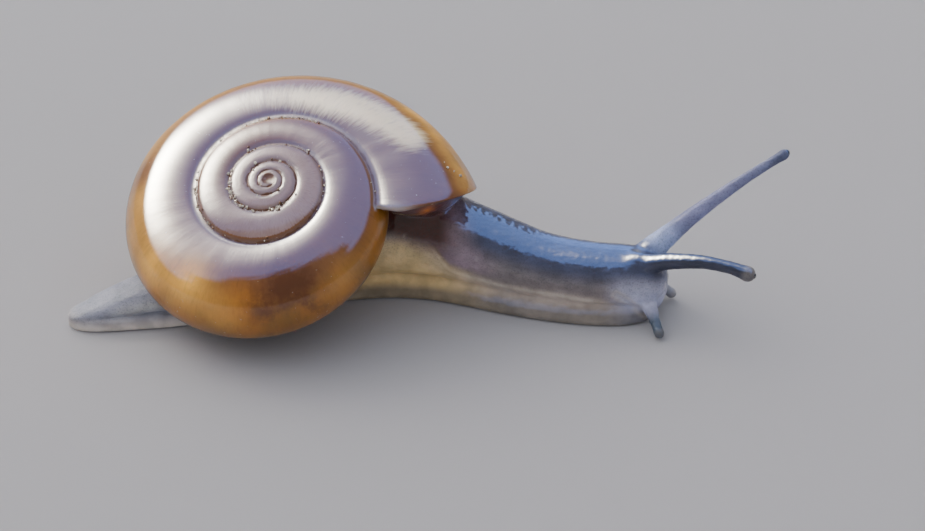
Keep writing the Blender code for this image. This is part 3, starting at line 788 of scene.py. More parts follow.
        # painted reflection: the spire's sky reflection, painted in where its coat is weakened
        put_values(mesh, "spire", smooth_step(1.35, 1.8, n))
        rim = hump(backward, 0.22, 0.22) * back
        fresh = 1 - 0.50 * smooth_step(1.0, 1.45, n) - 0.2 * smooth_step(1.5, 2.1, n)
        put_values(mesh, "fresh", fresh * (1 - 0.75 * rim))
        gap = np.abs(angle - np.interp(n, self.table, self.sutures[1])) * self.coil.whorl(n)[0]
        skirt = (smooth_step(0.30, 0.20, gap) * smooth_step(1.56, 1.72, n)
                 * smooth_step(2.02, 1.88, n))
        skirt += smooth_step(0.13, 0.06, gap) * hump(n, 2.72, 0.12)
        put_values(mesh, "skirt", skirt)
        put_values(mesh, "ember", np.clip(spots(places, self.embers), 0, 1))
        dusty = smooth_step(0.35, 0.0, edge) + smooth_step(0.05, 0.0, n) + 0.25
        put_values(mesh, "dusty", np.clip(dusty, 0, 1))
        put_values(mesh, "lip", smooth_step(0.012, 0.0, n) * 0.8)


@dataclass(frozen=True)
class Grit:
    """Crumbs of soil along the seams, half sunk in the shell."""

    drifts: tuple = (                # middle in mm, reach in mm, share
        ((-0.35, 3.20, 6.88), 0.35, 0.9), ((0.71, 3.13, 7.02), 0.45, 1.0),
        ((1.92, 2.94, 7.04), 0.25, 1.2), ((-3.06, 0.48, 5.39), 0.35, 1.2),
        ((-2.82, -0.57, 4.96), 0.35, 1.0), ((-2.39, -1.11, 4.75), 0.4, 0.5),
        ((-1.40, -0.12, 5.69), 0.4, 0.9), ((-1.05, -0.73, 5.44), 0.3, 1.2),
        ((-0.55, -1.15, 5.34), 0.3, 0.6), ((0.38, -1.07, 5.47), 0.2, 3.0))
    lip_drifts: tuple = (((7.04, 0.98, 6.01), 0.12, 1.0), ((7.45, 0.92, 5.70), 0.15, 1.6))
    seam: float = 0.13               # how far the crumbs lie from a seam, in mm
    scattered: float = 0.05
    count: int = 320
    sizes: tuple = (0.018, 0.065)
    corners: int = 42                # vertices of one crumb
    seed: int = 11
    thinning: float = 1.9            # how fast the crumbs grow rare, per turn from the lip
    sunk: float = 0.4                # height of a crumb's middle over the shell, in its sizes
    scatter: float = 0.012           # mm that crumbs lie off their place

    def weights(self, mesh: bpy.types.Mesh) -> np.ndarray:
        """Chance of a crumb at each vertex of the shell."""
        n, edge = values_of(mesh, "n"), values_of(mesh, "from_suture")
        places = places_of(mesh)
        density = self.scattered + spots(places, self.drifts)
        seams = hump(edge, 0.0, self.seam) * (n > 0.97) * density
        spread = np.exp(-self.thinning * n) * (normals_of(mesh)[:, 2] > 0.2)
        chance = (seams + 0.15 * spots(places, self.lip_drifts) * (n > 0.004)) * spread
        return chance / chance.sum()

    def build(self, mesh: bpy.types.Mesh) -> bpy.types.Mesh:
        """Strew the crumbs.

        Args:
            mesh: the shell, still in millimetres.

        Returns:
            All the crumbs as one mesh.
        """
        rng = np.random.default_rng(self.seed)
        places, normals = places_of(mesh), normals_of(mesh)
        work = Builder()
        smallest, largest = self.sizes
        for index in rng.choice(len(places), self.count, p=self.weights(mesh)):
            size = smallest * (largest / smallest) ** (rng.random() ** 1.7)
            crumb = bmesh.ops.create_icosphere(work.bm, subdivisions=2, radius=size)["verts"]
            spin = Euler(rng.uniform(0, math.tau, 3)).to_matrix()
            stretch = rng.uniform(0.6, 1.25, 3)
            middle = places[index] + normals[index] * size * self.sunk
            middle = middle + rng.normal(0, self.scatter, 3)
            for vert in crumb:
                dent = noise.noise(vert.co * (1.6 / size) + Vector(middle) * 9.0)
                vert.co = spin @ Vector(stretch * vert.co * (1 + 0.6 * dent)) + Vector(middle)
        grit = work.mesh("grit")
        put_values(grit, "soil", np.repeat(rng.random(self.count), self.corners))
        return grit


# --- flesh ----------------------------------------------------------------------------------
class FleshTones:
    """Colours of the skin, part by part."""

    slate = (0.048, 0.058, 0.115)
    flank = (0.17, 0.143, 0.145)
    dusk = (0.29, 0.21, 0.255)
    lower_flank = (0.53, 0.45, 0.39)
    line = (0.50, 0.44, 0.36)
    tan = (0.72, 0.53, 0.26)
    head = (0.42, 0.43, 0.58)
    fringe = (0.12, 0.11, 0.10)
    tail = (0.24, 0.25, 0.31)
    tail_pale = (0.50, 0.50, 0.50)
    tail_foot = (0.62, 0.55, 0.49)
    # partly painted shade: the mantle collar's own dark brown, deepened to near black under the
    # shell's lip
    collar = (0.062, 0.013, 0.012)
    # painted glow: the orange spot on the collar under the shell's lip
    glow = (0.50, 0.13, 0.015)
    near_feeler = (0.030, 0.034, 0.060)
    # partly painted reflection: the far feeler's own blue, lighter and bluer at its root, stands in
    # for the sky that its nearly dry coat does not mirror
    far_feeler_and_sky = (0.25, 0.26, 0.43)
    far_root_and_sky = (0.48, 0.60, 0.95)
    far_tip = (0.10, 0.115, 0.19)
    low_feeler = (0.055, 0.08, 0.11)
    pale_feeler = (0.28, 0.29, 0.33)
    tip = (0.22, 0.20, 0.19)


class Station(NamedTuple):
    """One place along the body, in mm."""

    x: float
    y: float
    foot: float                      # half-width of the foot
    body: float                      # half-width of the body
    height: float
    lift: float                      # clearance below


class Side(Enum):
    """The animal's two sides, by the sign of y."""

    RIGHT = -1
    LEFT = 1


@dataclass
class Body:
    """Foot, tail, back, neck and head as one smooth form."""

    stations: tuple = (
        Station(-8.20, -1.28, 0.22, 0.16, 0.36, 0.06),
        Station(-7.98, -1.24, 0.50, 0.40, 0.58, 0.00),
        Station(-7.30, -1.10, 0.82, 0.68, 0.86, 0.00),
        Station(-5.80, -0.62, 1.20, 1.02, 1.36, 0.00),
        Station(-3.90, -0.05, 1.50, 1.35, 1.85, 0.00),
        Station(-1.00, 0.95, 1.75, 1.55, 2.50, 0.00),
        Station(2.00, 1.85, 1.80, 1.65, 3.40, 0.00),
        Station(4.50, 2.15, 1.75, 1.70, 4.20, 0.00),
        Station(6.50, 2.00, 1.75, 1.70, 4.10, 0.00),
        Station(8.20, 1.50, 1.72, 1.60, 3.60, 0.00),
        Station(9.50, 1.00, 1.68, 1.50, 3.25, 0.00),
        Station(11.0, 0.50, 1.62, 1.42, 2.90, 0.00),
        Station(12.7, 0.10, 1.55, 1.38, 2.78, 0.00),
        Station(14.2, -0.03, 1.45, 1.35, 2.72, 0.00),
        Station(15.0, -0.08, 1.15, 1.28, 2.65, 0.05),
        Station(15.5, -0.08, 0.85, 1.08, 2.48, 0.45),
        Station(15.8, -0.08, 0.50, 0.68, 2.12, 0.90),
        Station(15.9, -0.08, 0.20, 0.28, 1.80, 1.30),
    )
    rim: float = 0.34                # thickness of the foot's edge
    groove: float = 0.55             # height of the groove above it
    groove_depth: float = 0.10
    flatness: float = 0.84           # power that squares the back; 1 leaves it round
    step: float = 0.14

    def __post_init__(self) -> None:
        """Keep the stations as a table too."""
        self.table = np.array(self.stations)

    def at(self, x: np.ndarray) -> list:
        """Middle, half-widths, height and lift of the body at places along it.

        Args:
            x: places along the body.

        Returns:
            Arrays of y, foot, body, height and lift.
        """
        xs = self.table[:, 0]
        index = np.clip(np.searchsorted(xs, x) - 1, 0, len(xs) - 2)
        width = xs[index + 1] - xs[index]
        part = np.clip((x - xs[index]) / width, 0, 1)
        slope = (np.vstack([self.table[1:], self.table[-1:]])
                 - np.vstack([self.table[:1], self.table[:-1]]))
        slope = slope[:, 1:] / slope[:, :1]
        found = []
        for column in range(1, 6):
            start, end = self.table[index, column], self.table[index + 1, column]
            leave = slope[index, column - 1] * width * part * (1 - part) ** 2
            arrive = slope[index + 1, column - 1] * width * part ** 2 * (1 - part)
            found.append(start + (end - start) * part ** 2 * (3 - 2 * part) + leave - arrive)
        found[4] = np.maximum(found[4], 0.0)
        return found

    def half(self, foot: float, body: float, height: float) -> np.ndarray:
        """Points up one side of a cross-section, from under the middle to the back."""
        rim, groove = min(self.rim, 0.45 * height), min(self.groove, 0.6 * height)
        points = [(0.0, 0.0), (foot / 2, 0.0), (0.86 * foot, 0.0), (0.97 * foot, 0.18 * rim),
                  (foot, 0.5 * rim), (0.97 * foot, 0.85 * rim), (0.90 * foot, (rim + groove) / 2),
                  (min(body, foot) * (1 - self.groove_depth), groove)]
        middle = groove + 0.32 * (height - groove)
        for degrees in (-42, -18, 5, 28, 50, 70, 90):
            angle = math.radians(degrees)
            depth = height - middle if angle > 0 else middle - groove
            flat = self.flatness if angle > 0 else 1.0
            out, up = math.cos(angle) ** flat, math.copysign(abs(math.sin(angle)) ** flat, angle)
            points.append((body * out, middle + depth * up))
        return spline(np.array(points), 4)

    def ring(self, x: float) -> np.ndarray:
        """Places round the body at one place along it."""
        y, foot, body, height, lift = (float(value) for value in self.at(np.array(x)))
        ahead, behind = self.at(np.array(x + 0.05))[0], self.at(np.array(x - 0.05))[0]
        along = np.array([0.1, float(ahead - behind)])
        along /= np.hypot(*along)
        half = self.half(foot, body, height)
        outline = np.vstack([half, half[-2:0:-1] * (-1, 1)])
        up = np.maximum(outline[:, 1], 0.0) * (height - lift) / height + lift
        return np.stack([x + along[1] * outline[:, 0], y - along[0] * outline[:, 0], up], -1)

    def rings(self) -> list:
        """Rings along the whole body, closer together at the round ends."""
        first, last = self.table[0, 0], self.table[-1, 0]
        xs = np.arange(first, last, self.step)
        ends = [np.linspace(first, first + 0.3, 7), np.linspace(last - 0.4, last, 9)]
        xs = np.concatenate([ends[0], xs[(xs > first + 0.33) & (xs < last - 0.43)], ends[1]])
        return [self.ring(x) for x in xs]


@dataclass(frozen=True)
class Feeler:
    """A feeler: knots of x, y, z and radius, in mm, from inside the head to the tip."""

    knots: tuple
    sides: int = 20

    def path(self) -> np.ndarray:
        """Places and radii along the feeler."""
        return spline(np.array(self.knots), 12)

    def rings(self) -> list:
        """Rings round the path, with a round tip."""
        path = self.path()
        along = path[-1, :3] - path[-2, :3]
        along /= np.linalg.norm(along)
        end, radius = path[-1, :3], path[-1, 3]
        tip = [np.append(end + along * radius * math.sin(angle), radius * math.cos(angle))
               for angle in np.radians((20, 40, 58, 74, 86))]
        path = np.vstack([path] + tip)
        turn = np.linspace(0, 2 * math.pi, self.sides, endpoint=False)[:, None]
        rings = []
        for index, row in enumerate(path):
            before, after = path[max(index - 1, 0), :3], path[min(index + 1, len(path) - 1), :3]
            line = (after - before) / np.linalg.norm(after - before)
            across = np.cross(line, (0, 0, 1))
            across /= np.linalg.norm(across)
            over = np.cross(across, line)
            rings.append(row[:3] + row[3] * (across * np.cos(turn) + over * np.sin(turn)))
        return rings


@dataclass
class Flesh:
    """All the soft parts under one skin."""

    shell: Shell
    coat: bpy.types.Mesh             # the built shell, in mm
    body: Body = field(default_factory=Body)
    voxel: float = 0.075
    roots: tuple = ((15.25, -0.75, 2.45), (15.35, 0.62, 2.5), (15.1, -1.2, 0.95), (15.5, 0.5, 0.85))
    root_reach: float = 0.75         # how far the feelers' roots are smoothed
    neck: tuple = (5.0, 9.0, 2.5)    # from x, to x and above z, where the collar's root is too
    clearance: float = 0.02          # left between the skin and the shell that lies on it
    feelers: dict = field(default_factory=lambda: {
        "upper_right": Feeler(((14.55, -0.35, 1.90, 0.50), (15.05, -0.62, 2.38, 0.44),
                               (15.60, -0.86, 2.78, 0.36), (16.94, -1.50, 3.22, 0.285),
                               (17.90, -1.93, 3.30, 0.26), (18.40, -2.17, 3.27, 0.28),
                               (18.72, -2.32, 3.22, 0.33))),
        "upper_left": Feeler(((14.60, 0.42, 1.70, 0.60), (15.20, 0.60, 2.30, 0.56),
                              (15.97, 0.82, 2.98, 0.43), (17.16, 1.20, 3.88, 0.32),
                              (18.77, 1.75, 4.88, 0.235), (20.00, 2.15, 5.55, 0.20),
                              (20.50, 2.32, 5.80, 0.23))),
        "lower_right": Feeler(((14.90, -0.75, 1.20, 0.34), (15.14, -1.35, 0.82, 0.31),
                               (15.33, -1.90, 0.47, 0.21), (15.45, -2.25, 0.28, 0.22))),
        "lower_left": Feeler(((15.10, 0.45, 1.15, 0.34), (15.60, 0.58, 0.75, 0.25),
                              (16.00, 0.52, 0.42, 0.22), (16.15, 0.46, 0.31, 0.23))),
    })

    def cut_clear(self, skin: bpy.types.Mesh) -> bpy.types.Mesh:
        """Cut the shell, a hair larger, out of the skin that runs under it and into its mouth."""
        scene = bpy.context.scene.collection
        grown = self.coat.copy()
        put_places(grown, places_of(grown) + self.clearance * normals_of(grown))
        for name in [layer.name for layer in grown.attributes
                     if not (layer.is_required or layer.is_internal)]:
            grown.attributes.remove(grown.attributes[name])
        blade = bpy.data.objects.new("blade", grown)
        block = bpy.data.objects.new("block", skin)
        scene.objects.link(blade)
        scene.objects.link(block)
        cut = block.modifiers.new("cut", "BOOLEAN")
        cut.operation, cut.object, cut.solver = "DIFFERENCE", blade, "EXACT"
        clear = apply_modifiers(block)
        bpy.data.objects.remove(blade)
        bpy.data.meshes.remove(grown)
        bpy.data.meshes.remove(skin)
        self.clean(clear)
        return clear

    @staticmethod
    def clean(skin: bpy.types.Mesh) -> None:
        """Merge away the slivers that a cut leaves, and count the edges still open."""
        bm = bmesh.new()
        bm.from_mesh(skin)
        bmesh.ops.remove_doubles(bm, verts=bm.verts, dist=SLIVER)
        bmesh.ops.dissolve_degenerate(bm, dist=SLIVER, edges=bm.edges)
        bmesh.ops.triangulate(bm, faces=bm.faces)
        bmesh.ops.remove_doubles(bm, verts=bm.verts, dist=SLIVER)
        bmesh.ops.recalc_face_normals(bm, faces=bm.faces)
        open_edges = sum(not e.is_manifold for e in bm.edges)
        LOG.info("skin: %d edges open after the cut", open_edges)
        bm.to_mesh(skin)
        bm.free()

    def collar(self) -> list:
        """Rings of the fleshy plug that fills the shell's mouth, and its low dome."""
        shell, coil = self.shell, self.shell.coil
        end = shell.first_base - 1 - shell.columella

        def loop(deeper: float, inset: float) -> np.ndarray:
            """Places round the mouth."""
            lip = [shell.surface(0.0, k, deeper, shell.lip_thickness + inset)[0][0]
                   for k in range(1, shell.first_base)]
            wall = [shell.surface(1.0, k, deeper, -inset)[0][0]
                    for k in range(end, shell.top + 1, -1)]
            return np.array(lip + wall)

        n = np.array(shell.lip_lag / 2)
        width, height, middle, level = coil.whorl(n)
        centre = coil.place(n, middle + 0.45 * width, level + 0.1 * height)
        ahead = coil.place(n - 0.02, middle + 0.45 * width, level + 0.1 * height) - centre
        ahead /= np.linalg.norm(ahead)
        rings = [loop(deeper, 0.06) for deeper in (0.044, 0.03, 0.016, 0.006)]
        for degrees in (15, 30, 45, 60, 75, 86):
            angle = math.radians(degrees)
            spread = centre + (rings[3] - centre) * math.cos(angle)
            rings.append(spread + ahead * 0.75 * math.sin(angle))
        return rings

    def join(self) -> bpy.types.Mesh:
        """Melt all the soft forms into one skin of even grain."""
        meshes = []
        feelers = [feeler.rings() for feeler in self.feelers.values()]
        for rings in [self.body.rings(), self.collar()] + feelers:
            work = Builder()
            work.loft(rings)
            meshes.append(work.mesh("soft_form"))
        whole = bmesh.new()
        for mesh in meshes:
            whole.from_mesh(mesh)
            bpy.data.meshes.remove(mesh)
        joined = bpy.data.meshes.new("soft_forms")
        whole.to_mesh(joined)
        whole.free()
        rough = bpy.data.objects.new("soft_forms", joined)
        bpy.context.scene.collection.objects.link(rough)
        remesh = rough.modifiers.new("melt", "REMESH")
        remesh.mode, remesh.voxel_size = "VOXEL", self.voxel
        skin = apply_modifiers(rough)
        bpy.data.meshes.remove(joined)
        return skin

    def feeler_reach(self, places: np.ndarray, name: str) -> tuple:
        """Distance from a feeler's middle line, and how far along it, for each place."""
        path = self.feelers[name].path()
        gaps = np.linalg.norm(places[:, None, :] - path[None, :, :3], axis=2)
        nearest = gaps.argmin(1)
        return gaps[np.arange(len(places)), nearest], nearest / (len(path) - 1)

    def soften(self, skin: bpy.types.Mesh) -> None:
        """Smooth the whole skin a little, and more where the feelers and collar grow from it."""
        bm = bmesh.new()
        bm.from_mesh(skin)

        def smooth(verts: Sequence[bmesh.types.BMVert], times: int) -> None:
            """Smooth some of the vertices."""
            for _ in range(times):
                bmesh.ops.smooth_vert(bm, verts=verts, factor=0.5, use_axis_x=True,
                                      use_axis_y=True, use_axis_z=True)

        smooth(bm.verts, 2)
        near = [v for v in bm.verts
                if any((v.co - Vector(root)).length < self.root_reach for root in self.roots)]
        start, end, floor = self.neck
        near += [v for v in bm.verts if start < v.co.x < end and floor < v.co.z]
        smooth(near, 8)
        bm.to_mesh(skin)
        bm.free()

    def build(self) -> bpy.types.Mesh:
        """Make the skin and store its tones."""
        skin = self.join()
        self.soften(skin)
        places, normals = places_of(skin), normals_of(skin)
        self.carve(skin, places, normals)
        skin = self.cut_clear(skin)
        self.tone(skin)
        return skin

    def local(self, places: np.ndarray) -> tuple:
        """Where each place lies on the body: across, from -1 right to 1 left, and up, 0 to 1."""
        y, foot, body, height, _ = self.body.at(places[:, 0])
        return (places[:, 1] - y) / body, places[:, 2] / height, height

    @staticmethod
    def flank_line(x: np.ndarray) -> np.ndarray:
        """Height of the pale line along the flank."""
        return np.interp(x, (5.6, 6.47, 6.8, 7.11, 8.0, 9.2, 11.5, 13.1, 14.3, 15.2),
                         (3.3, 2.48, 1.95, 1.62, 1.45, 1.31, 1.26, 1.12, 0.80, 0.60))

    @staticmethod
    def fold_distance(places: np.ndarray) -> np.ndarray:
        """Distance from the fold that runs down each cheek to the lower feeler."""
        path = spline(np.array(((13.75, -1.38, 1.50), (14.15, -1.37, 1.22), (14.50, -1.30, 0.88),
                                (14.80, -1.20, 0.62), (15.02, -1.15, 0.45))), 8)
        mirrored = path * (1, -1, 1) - (0, 0.1, 0)
        path = np.vstack([path, mirrored])
        return np.linalg.norm(places[:, None, :] - path[None], axis=2).min(1)

    @staticmethod
    def mouth(places: np.ndarray, normals: np.ndarray) -> tuple:
        """Shares of the mouth's slit with the groove above it, and of the lips round it."""
        _, y, z = places.T
        off = y + 0.08
        front = smooth_step(0.15, 0.45, normals[:, 0]) * smooth_step(14.9, 15.2, places[:, 0])
        level = z - 0.88 + 0.5 * off ** 2
        ends = smooth_step(0.50, 0.34, np.abs(off))
        slit = hump(level, 0.0, 0.07) * ends
        lips = (hump(level, 0.17, 0.10) + hump(level, -0.16, 0.10)) * ends
        groove = 0.4 * hump(off, 0.0, 0.07) * smooth_step(0.95, 1.1, z) * smooth_step(2.1, 1.7, z)
        return (slit + groove) * front, lips * front

    def carve(self, skin: bpy.types.Mesh, places: np.ndarray, normals: np.ndarray) -> None:
        """Press the skin into low tubercles and draw its grooves."""
        across, up, height = self.local(places)
        stretched = places * (1.0, 0.7, 0.5)
        lumps = np.array([noise.voronoi(Vector(p) / 0.17)[0][0] for p in stretched])
        calm = smooth_step(0.05, 0.35, places[:, 2])
        relief = 0.017 * (0.45 - lumps) * calm
        tail = smooth_step(-1.0, -3.5, places[:, 0])
        relief += 0.07 * tail * hump(places[:, 2], 0.48, 0.16) - 0.012 * tail * (0.45 - lumps)
        off_line = places[:, 2] - self.flank_line(places[:, 0])
        flank = smooth_step(5.8, 6.6, places[:, 0]) * smooth_step(15.2, 14.6, places[:, 0])
        relief -= 0.018 * hump(off_line, 0.11, 0.10) * flank
        relief += 0.014 * hump(off_line, -0.04, 0.08) * flank
        brow = np.linalg.norm(places - (14.62, -0.45, 2.75), axis=1)
        relief += 0.21 * hump(brow, 0.0, 0.40)
        fold = self.fold_distance(places)
        relief += 0.022 * hump(fold, 0.17, 0.08) - 0.040 * hump(fold, 0.0, 0.08)
        slit, crease = self.mouth(places, normals)
        relief += 0.035 * crease - 0.075 * slit
        moved = places + normals * relief[:, None]
        moved[:, 2] = np.maximum(moved[:, 2], 0.0)
        put_places(skin, moved)

    def tone(self, skin: bpy.types.Mesh) -> None:
        """Colour the skin: slate back, tan flank, pale fringe and tail, brown collar with painted
        shade under the lip, a painted orange glow, painted sky on the far feeler and painted shade
        in the mouth.
        """
        places = places_of(skin)
        x, z = places[:, 0], places[:, 2]
        across, up, height = self.local(places)
        colour = np.tile(np.array(FleshTones.flank), (len(places), 1))

        def paint(new: tuple, share: np.ndarray) -> None:
            """Lay a tone over the colours so far."""
            colour[:] = colour + (np.array(new) - colour) * np.clip(share, 0, 1)[:, None]

        line = self.flank_line(x)
        front = smooth_step(5.6, 6.6, x)
        paint(FleshTones.lower_flank, smooth_step(0.45, -0.30, z - line) * front)
        paint(FleshTones.line, hump(z - line, 0.0, 0.09) * front * 0.5)
        paint(FleshTones.tan, smooth_step(8.8, 5.6, x + 0.9 * (z - 1.6)) * smooth_step(3.4, 2.4, z))
        paint(FleshTones.dusk, smooth_step(9.5, 7.5, x) * smooth_step(0.15, 0.5, z - line))
        paint(FleshTones.slate, smooth_step(0.58, 0.86, up) * smooth_step(8.0, 9.4, x + 0.3 * z))
        paint(FleshTones.head, smooth_step(13.0, 14.6, x) * smooth_step(0.9, 0.6, up))
        paint(FleshTones.fringe, smooth_step(0.78, 0.40, z) * smooth_step(-3.0, 0.0, x) * 0.8)
        paint(FleshTones.line, smooth_step(0.14, 0.05, z) * 0.5)
        tail = smooth_step(-1.0, -3.5, x)
        paint(FleshTones.tail, tail)
        paint(FleshTones.tail_pale, tail * hump(up, 0.62, 0.16) * smooth_step(-7.0, -5.5, x) * 0.8)
        paint(FleshTones.tail_foot, tail * smooth_step(0.75, 0.05, z))
        # partly painted shade: the collar's brown, painted near black towards the shell's lip
        collar = smooth_step(7.7, 6.6, x) * smooth_step(2.3, 3.2, z + 0.35 * (x - 5.5))
        paint(FleshTones.collar, collar)
        # painted glow: an orange spot on the collar under the shell's lip
        paint(FleshTones.glow, hump(np.linalg.norm(places - (6.2, -0.6, 5.05), axis=1), 0, 0.28))
        slit, lips = self.mouth(places, normals_of(skin))
        # painted shade: the mouth's slit and the groove above it are darkened
        paint(FleshTones.flank, slit * 0.7)
        paint(FleshTones.line, lips * 0.25)
        fold = self.fold_distance(places)
        paint(FleshTones.line, hump(fold, 0.15, 0.10) * 0.35)
        pigment = smooth_step(0.25, 0.7, up)
        wet = 0.25 + 0.75 * smooth_step(1.2, 1.9, z + 0.5 * smooth_step(13.5, 15.0, x))
        wet *= smooth_step(-3.0, 1.0, x) * 0.98 + 0.02
        shades = {"upper_right": (FleshTones.near_feeler, 0.70, 0.6),
                  "upper_left": (FleshTones.far_feeler_and_sky, 0.01, 0.0),
                  "lower_right": (FleshTones.low_feeler, 0.10, 0.35),
                  "lower_left": (FleshTones.pale_feeler, 0.10, 0.35)}
        for name, (shade, film, pale) in shades.items():
            reach, along = self.feeler_reach(places, name)
            near = smooth_step(0.75, 0.5, reach)
            start, full = (0.12, 0.35) if name.startswith("upper") else (0.3, 0.65)
            on = near * smooth_step(start, full, along)
            paint(shade, on * 0.9)
            # partly painted reflection: the far feeler's blue and its bright blue root hold painted
            # sky
            if name == "upper_left":
                paint(FleshTones.far_root_and_sky, on * smooth_step(0.45, 0.2, along))
                paint(FleshTones.far_tip, on * smooth_step(0.5, 0.95, along) * 0.9)
            paint(FleshTones.tip, on * smooth_step(0.85, 1.0, along) * pale)
            wet += (film - wet) * near * smooth_step(0.02, 0.2, along)
        put_values(skin, "wet", wet)
        put_colours(skin, "tone", colour)
        put_values(skin, "pigment", pigment)


@dataclass(frozen=True)
class Eye:
    """The small black eye in the tip of an upper feeler."""

    side: Side
    proud: float = 0.045             # mm that the eye stands out of the skin

    def build(self, skin: BVHTree, root: np.ndarray) -> bpy.types.Mesh:
        """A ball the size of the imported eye, set in the skin of the feeler's tip.

        Args:
            skin: the skin's faces, in mm.
            root: middle of the feeler just behind its tip.

        Returns:
            The ball.
        """
        low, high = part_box("eye_" + self.side.name.lower())
        middle = np.array((low + high) / 2) / MM - FROM_APEX
        radius = (high - low).x / 2 / MM
        out = Vector(middle - root).normalized()
        surface = skin.ray_cast(Vector(root) + 2 * out, -out)[0]
        middle = surface - out * (radius - self.proud)
        work = Builder()
        bmesh.ops.create_icosphere(work.bm, subdivisions=4, radius=radius)
        bmesh.ops.translate(work.bm, verts=work.bm.verts, vec=middle)
        return work.mesh("eyeball_" + self.side.name.lower())


# --- surroundings ---------------------------------------------------------------------------
@dataclass(frozen=True)
class Lamp:
    """A soft bright part of the tent."""

    azimuth: float
    polar: float
    tightness: float
    tone: tuple
    level: float


@dataclass(frozen=True)
class SoftTent:
    """Soft light from all round; what gloss mirrors is livelier than what lights the room."""

    sky: tuple = (1.1, 1.9, 4.6)                 # radiance seen in gloss, overhead and behind
    shade: tuple = (0.35, 0.33, 0.30)            # radiance seen in gloss, in front and below
    sun: Lamp = Lamp(147, 53, 26, (1.0, 0.93, 0.76), 260)
    haze: Lamp = Lamp(118, 28, 40, (1.0, 0.88, 0.76), 6)
    dome: tuple = (0.60, 0.62, 0.68)             # radiance that lights the room
    window: Lamp = Lamp(135, 45, 3, (1.0, 0.97, 0.92), 1.9)
    backdrop: tuple = (0.62, 0.62, 0.63)
    front: tuple = (-0.46, -0.34)                # how far forward the sky reaches, in y
    horizon: tuple = (0.0, 0.16)
    trees: tuple = (-0.30, 0.35, 0.11)           # the horizon rises behind: from y, to y, by z
    wall: tuple = (0.12, 0.42, 0.45)             # and to the right: from x, to x, by z
    hedge: tuple = (-0.45, -0.80, 0.25)          # and to the left

    def lobe(self, r: Recipe, light: bpy.types.NodeSocket, lamp: Lamp) -> bpy.types.NodeSocket:
        """Add a lamp to a light.

        Args:
            r: the world's nodes.
            light: the light so far.
            lamp: the lamp.

        Returns:
            The sum.
        """
        azimuth, polar = math.radians(lamp.azimuth), math.radians(lamp.polar)
        dot = r.node("ShaderNodeVectorMath", operation="DOT_PRODUCT")
        r.feed(dot.inputs[0], r.coordinates)
        dot.inputs[1].default_value = (math.sin(polar) * math.cos(azimuth),
                                       math.sin(polar) * math.sin(azimuth), math.cos(polar))
        off = r.maths("SUBTRACT", dot.outputs["Value"], 1.0)
        share = r.maths("EXPONENT", r.maths("MULTIPLY", off, lamp.tightness))
        return r.mix(share, light, [c * lamp.level for c in lamp.tone], "ADD")

    def make(self, world: bpy.types.World) -> None:
        """Mix the light."""
        r = Recipe(world, "Background", "Generated")
        parts = r.node("ShaderNodeSeparateXYZ")
        r.feed(parts.inputs[0], r.coordinates)
        ragged = r.maths("ADD", parts.outputs["Y"],
                         r.between(r.noise(5.0, 3.0), 0.3, 0.7, -0.06, 0.06))
        over = parts.outputs["Z"]
        for axis, (first, last, rise) in (("Y", self.trees), ("X", self.wall), ("X", self.hedge)):
            over = r.maths("SUBTRACT", over, r.between(parts.outputs[axis], first, last, 0.0, rise))
        open_sky = r.maths("MULTIPLY", r.between(ragged, *self.front),
                           r.between(over, *self.horizon))
        above = self.lobe(r, self.lobe(r, self.sky, self.sun), self.haze)
        mirrored = r.mix(open_sky, self.shade, above)
        room = self.lobe(r, self.dome, self.window)
        path = r.node("ShaderNodeLightPath").outputs
        light = r.mix(path["Is Glossy Ray"], room, mirrored)
        r.feed(r.shader.inputs["Color"], r.mix(path["Is Camera Ray"], light, self.backdrop))


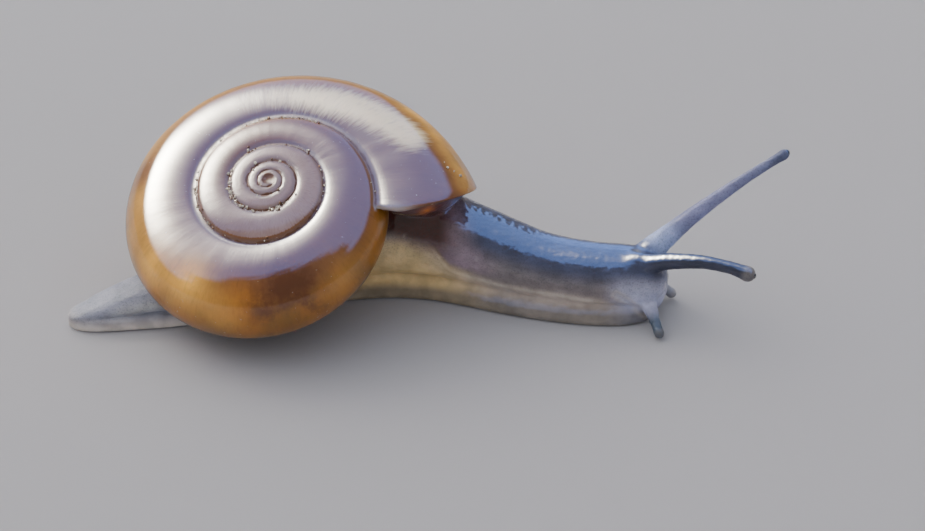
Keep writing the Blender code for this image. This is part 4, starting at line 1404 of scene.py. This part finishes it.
@dataclass(frozen=True)
class Studio:
    """Pale floor, soft lights and the camera."""

    floor: float = 0.6
    aim: tuple = (7.617, -1.928, 3.347)          # mm from below the apex
    distance: float = 80.0
    rise: float = math.radians(35)
    lens: float = 79.7

    def add_floor(self) -> None:
        """Lay a plain pale floor."""
        bm = bmesh.new()
        bmesh.ops.create_grid(bm, x_segments=2, y_segments=2, size=self.floor)
        mesh = bpy.data.meshes.new("floor")
        bm.to_mesh(mesh)
        bm.free()
        mesh.materials.append(PlainFloor().make())
        floor = bpy.data.objects.new("floor", mesh)
        bpy.context.scene.collection.objects.link(floor)

    def add_light(self) -> None:
        """Light the room with one great soft tent: cool overhead, white at the back left."""
        world = bpy.data.worlds.new("tent")
        bpy.context.scene.world = world
        SoftTent().make(world)

    def add_camera(self) -> None:
        """Set the camera at the viewing angle."""
        camera = bpy.data.cameras.new("camera")
        camera.sensor_width, camera.lens = 36.0, self.lens
        camera.clip_start, camera.clip_end = 0.001, 10.0
        eye = bpy.data.objects.new("camera", camera)
        bpy.context.scene.collection.objects.link(eye)
        back = Vector((0, -math.cos(self.rise), math.sin(self.rise))) * self.distance
        eye.location = (Vector(self.aim) + Vector(FROM_APEX) + back) * MM
        eye.rotation_euler = (math.pi / 2 - self.rise, 0, 0)
        bpy.context.scene.camera = eye


@dataclass(frozen=True)
class PlainFloor:
    """Pale matt floor."""

    tone: tuple = (0.34, 0.335, 0.35, 1.0)

    def make(self) -> bpy.types.Material:
        """Mix the material."""
        material = bpy.data.materials.new("floor")
        material.use_nodes = True
        shader = material.node_tree.nodes["Principled BSDF"]
        shader.inputs["Base Color"].default_value = self.tone
        shader.inputs["Roughness"].default_value = 0.9
        return material


FLESH_NODES = ("mantle_collar", "tail", "foot_rear", "foot_front", "back", "neck", "head",
               "upper_feeler_base_right", "upper_feeler_tip_right", "upper_feeler_base_left",
               "upper_feeler_tip_left", "lower_feeler_right", "lower_feeler_left")


def main() -> None:
    """Build every piece and the studio."""
    logging.basicConfig(level=logging.INFO, format="%(name)s: %(message)s")
    shell = Shell()
    mesh = shell.build()
    shell.dress(mesh)
    grit = Grit().build(mesh)
    flesh = Flesh(shell, mesh)
    skin = flesh.build()
    surface = tree_of(skin)
    add_piece("shell_coat", mesh, ShellFinish().make(), ["shell"])
    add_piece("grit", grit, GritFinish().make(), [])
    add_piece("skin", skin, SkinFinish().make(), FLESH_NODES)
    black = PlainFinish("black_eye", (0.012, 0.012, 0.015), 0.15, 1.0).make()
    for side in Side:
        name = side.name.lower()
        eye = Eye(side).build(surface, flesh.feelers["upper_" + name].path()[-1, :3])
        add_piece("eyeball_" + name, eye, black, ["eye_" + name])
    studio = Studio()
    studio.add_floor()
    studio.add_light()
    studio.add_camera()


if __name__ == "__main__":
    main()
